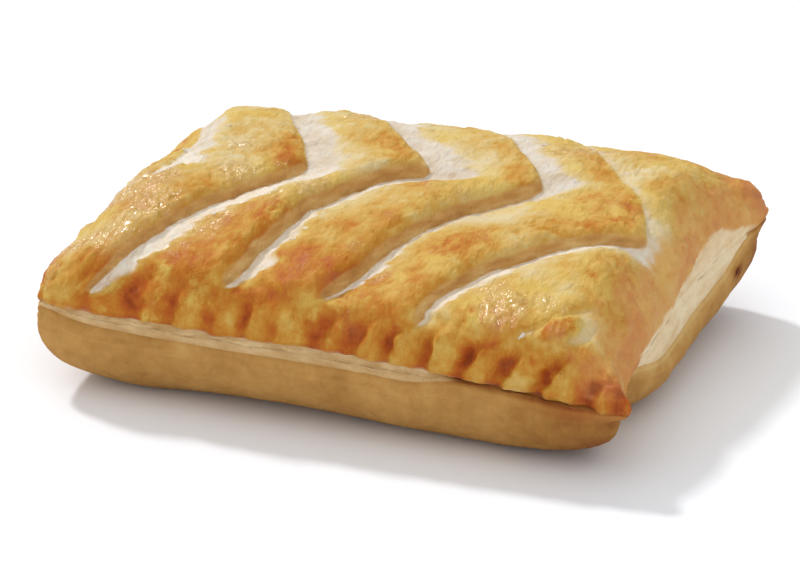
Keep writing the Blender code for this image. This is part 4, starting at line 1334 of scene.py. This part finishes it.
ring = rings[first_seam_ring + LEAF_RING]
line = ring + np.column_stack([LEAF_STANDS_OUT * side_normal, np.zeros(len(ring))])
leaf_points = []
leaf_edges = []
for place in range(0, len(ring) - LEAF_STEP, LEAF_STEP):
    if leaf_can_start(place):
        leaf_edges.append((len(leaf_points), len(leaf_points) + 1))
        leaf_points += [line[place], line[place + LEAF_STEP]]
leaf_points = (np.array(leaf_points) - [CENTRE_SHIFT, 0, 0]) * MM
unique_points, places = np.unique(np.round(leaf_points, 8), axis=0, return_inverse=True)
leaf_edges = places.ravel()[np.array(leaf_edges)]
leaf_lines = bpy.data.meshes.new("leaf_lines")
leaf_lines.from_pydata(unique_points, leaf_edges.tolist(), [])
print("leaf lines:", len(unique_points), "points")

# %% Tree for the leaves
tree, given = new_tree("seam_leaves", Width=float, Thickness=float, Stray=float, Step=float)
curve = from_node(tree, "GeometryNodeMeshToCurve", "Curve", {"Mesh": given["Geometry"]})
inputs = {"Curve": curve, "Length": given["Step"]}
curve = from_node(tree, "GeometryNodeResampleCurve", "Curve", inputs, mode="LENGTH")
inputs = {"Geometry": curve, "Offset": wander(tree, 260.0, 3.0, given["Stray"])}
curve = from_node(tree, "GeometryNodeSetPosition", "Geometry", inputs)
curve = from_node(tree, "GeometryNodeSetCurveNormal", "Curve", {"Curve": curve}, mode="Z_UP")
thin_noise = from_node(tree, "ShaderNodeTexNoise", "Fac", {"Scale": 420.0, "Detail": 2.0})
inputs = {"Value": thin_noise, "From Min": 0.3, "From Max": 0.7, "To Min": 0.35, "To Max": 1.25}
thinning = from_node(tree, "ShaderNodeMapRange", "Result", inputs)
curve = from_node(tree, "GeometryNodeSetCurveRadius", "Curve", {"Curve": curve, "Radius": thinning})
inputs = {"Width": given["Width"], "Height": given["Thickness"]}
section = from_node(tree, "GeometryNodeCurvePrimitiveQuadrilateral", "Curve", inputs)
inputs = {"Curve": curve, "Profile Curve": section, "Fill Caps": True}
leaves = from_node(tree, "GeometryNodeCurveToMesh", "Mesh", inputs)

# %% Masks of the leaves: they are seam, a little paler by the right end
position = from_node(tree, "GeometryNodeInputPosition", "Position")
along = from_node(tree, "ShaderNodeSeparateXYZ", "X", {"Vector": position})
inputs = {"Value": along, "From Min": 0.056, "From Max": 0.06, "To Min": -0.12, "To Max": 0.38}
at_end = from_node(tree, "ShaderNodeMapRange", "Result", inputs)
inputs = {0: thin_noise, 1: 0.4, 2: at_end}
tone = from_node(tree, "ShaderNodeMath", "Value", inputs, operation="MULTIPLY_ADD")
leaves = store(tree, leaves, "seam", 1.0)
leaves = store(tree, leaves, "seam_tone", tone)
finish_tree(tree, leaves, skin_paint)
leaf_sizes = {"Width": 0.0003, "Thickness": 0.00028, "Stray": 0.0008, "Step": 0.0008}
seam_leaves = bake_piece("seam_leaves", leaf_lines, tree, **leaf_sizes)

# %% [markdown]
# ### Shreds at the torn borders
# Where the slits tore open, thin shreds of dough lie loose along the border of the crust.
# Each shred is a small bent plate, laid almost flat on the surface and turned at random.
# Points scattered over the skin by the torn_edge mask say where the shreds go.

# %% Tree for the shreds: scatter points, and make one bent plate
PLATE_SIZE = (0.0020, 0.0008, 0.00014)
PLATE_BEND = 0.0004
TILT = 0.02

tree, given = new_tree("torn_shreds", Density=float, Least=float, Most=float, Seed=int)
crowd = from_node(tree, "GeometryNodeInputNamedAttribute", "Attribute", {"Name": "torn_edge"})
inputs = {0: crowd, 1: given["Density"]}
density = from_node(tree, "ShaderNodeMath", "Value", inputs, operation="MULTIPLY")
inputs = {"Mesh": given["Geometry"], "Density": density, "Seed": given["Seed"]}
scattered = add_node(tree, "GeometryNodeDistributePointsOnFaces", inputs).outputs
inputs = {"Size": PLATE_SIZE, "Vertices X": 5, "Vertices Y": 3, "Vertices Z": 2}
plate = from_node(tree, "GeometryNodeMeshCube", "Mesh", inputs)
inputs = {"Geometry": plate, "Offset": wander(tree, 700.0, 1.0, PLATE_BEND)}
plate = from_node(tree, "GeometryNodeSetPosition", "Geometry", inputs)

# %% Turn and size each shred, and put the plates on the points
inputs = {0: (-TILT, -TILT, 0.0), 1: (TILT, TILT, 6.283), "Seed": 5}
tilt = from_node(tree, "FunctionNodeRandomValue", 0, inputs, data_type="FLOAT_VECTOR")
turn = from_node(tree, "FunctionNodeEulerToRotation", "Rotation", {"Euler": tilt})
inputs = {"Rotation": scattered["Rotation"], "Rotate By": turn}
rotation = from_node(tree, "FunctionNodeRotateRotation", "Rotation", inputs, rotation_space="LOCAL")
inputs = {2: given["Least"], 3: given["Most"], "Seed": 6}
size = from_node(tree, "FunctionNodeRandomValue", 1, inputs)
inputs = {"Points": scattered["Points"], "Instance": plate, "Rotation": rotation, "Scale": size}
shreds = from_node(tree, "GeometryNodeInstanceOnPoints", "Instances", inputs)
shreds = from_node(tree, "GeometryNodeRealizeInstances", "Geometry", {"Geometry": shreds})
shreds = store(tree, shreds, "bare", 0.9)
finish_tree(tree, shreds, skin_paint, smooth=False)
torn_shreds = bake_piece("torn_shreds", skin_mesh, tree, Density=32000.0, Least=0.4, Most=1.0, Seed=12)

# %% [markdown]
# ## Floor, light and camera
# A plain pale floor and soft studio light. The surround is brighter in front and has a
# bright patch behind on the left that glints in the glaze. A soft key light from the left,
# a little behind, throws the shadow forwards and to the right.

# %% Floor
FLOOR_HALF = 3.0
SQUARE = ((-1, -1), (1, -1), (1, 1), (-1, 1))
FLOOR_RAMP = ((0.3, (243, 246, 250)), (0.7, (245, 248, 252)))

floor_mesh = bpy.data.meshes.new("studio_floor")
corners = [(side_x * FLOOR_HALF, side_y * FLOOR_HALF, 0) for side_x, side_y in SQUARE]
floor_mesh.from_pydata(corners, [], [(0, 1, 2, 3)])
floor = bpy.data.objects.new("studio_floor", floor_mesh)
bpy.context.scene.collection.objects.link(floor)
floor_paint = Paint("studio_floor")
shade = floor_paint.ramp(floor_paint.noise(6.0), FLOOR_RAMP)
floor_mesh.materials.append(floor_paint.finish(Base_Color=shade, Roughness=0.9))

# %% Light: strengths in the surround, places as azimuth and elevation, and angles in degrees
SURROUND_COLOUR = (1.0, 0.99, 0.985, 1.0)
BACK_SURROUND = 0.37
FRONT_SURROUND = 0.94
KEY_STRENGTH = 1.60
KEY_AZIMUTH = -121.5
KEY_ELEVATION = 46.0
KEY_SOFTNESS = 7.0
FILL_PLACE = (15.0, 50.0)
FILL_SPREAD = (115.0, 15.0)
GLINT_PLACE = (-150.0, 38.0)
GLINT_SPREAD = (26.0, 12.0)
GLINT_STRENGTH = 0.9


def direction(azimuth, elevation):
    """Unit vector towards a place seen from the object, azimuth 0 being straight in front."""
    round_angle = math.radians(azimuth)
    up_angle = math.radians(elevation)
    level = np.array([math.sin(round_angle), -math.cos(round_angle), 0.0])
    return level * math.cos(up_angle) + np.array([0.0, 0.0, math.sin(up_angle)])


scene = bpy.context.scene
scene.view_settings.view_transform = "Standard"
world = bpy.data.worlds.new("studio_surround")
scene.world = world
world.use_nodes = True
sky = world.node_tree
background = sky.nodes["Background"]
background.inputs["Color"].default_value = SURROUND_COLOUR
looking = from_node(sky, "ShaderNodeTexCoord", "Generated")


def lit_from(place, spread, low, high):
    """Strength that rises smoothly from low to high towards a place in the surround."""
    inputs = {0: looking, 1: direction(*place)}
    facing = from_node(sky, "ShaderNodeVectorMath", "Value", inputs, operation="DOT_PRODUCT")
    outer, inner = [math.cos(math.radians(angle)) for angle in spread]
    inputs = {"Value": facing, "From Min": outer, "From Max": inner, "To Min": low, "To Max": high}
    return from_node(sky, "ShaderNodeMapRange", "Result", inputs, interpolation_type="SMOOTHSTEP")


fill = lit_from(FILL_PLACE, FILL_SPREAD, BACK_SURROUND, FRONT_SURROUND)
glint = lit_from(GLINT_PLACE, GLINT_SPREAD, 0.0, GLINT_STRENGTH)
both = from_node(sky, "ShaderNodeMath", "Value", {0: fill, 1: glint}, operation="ADD")
sky.links.new(both, background.inputs["Strength"])
key_data = bpy.data.lights.new("key_light", "SUN")
key_data.energy = KEY_STRENGTH
key_data.angle = math.radians(KEY_SOFTNESS)
key = bpy.data.objects.new("key_light", key_data)
key.rotation_euler = Vector(direction(KEY_AZIMUTH, KEY_ELEVATION)).to_track_quat("Z", "Y").to_euler()
scene.collection.objects.link(key)

# %% Camera, looking at the middle of the bake from the photo's side
CAMERA_AZIMUTH = 21.0
CAMERA_ELEVATION = 23.9
CAMERA_DISTANCE = 1.3
CAMERA_LENS = 273.2
AIM = Vector((-0.001602, -0.00025, 0.01487))

camera_data = bpy.data.cameras.new("photo_camera")
camera_data.lens = CAMERA_LENS
camera = bpy.data.objects.new("photo_camera", camera_data)
towards = Vector(direction(CAMERA_AZIMUTH, CAMERA_ELEVATION))
camera.location = AIM + towards * CAMERA_DISTANCE
camera.rotation_euler = towards.to_track_quat("Z", "Y").to_euler()
scene.collection.objects.link(camera)
scene.camera = camera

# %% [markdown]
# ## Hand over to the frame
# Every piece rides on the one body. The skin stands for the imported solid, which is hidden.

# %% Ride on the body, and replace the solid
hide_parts("pastry")
for piece in (pastry_skin, seam_leaves, torn_shreds):
    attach(piece, "root")
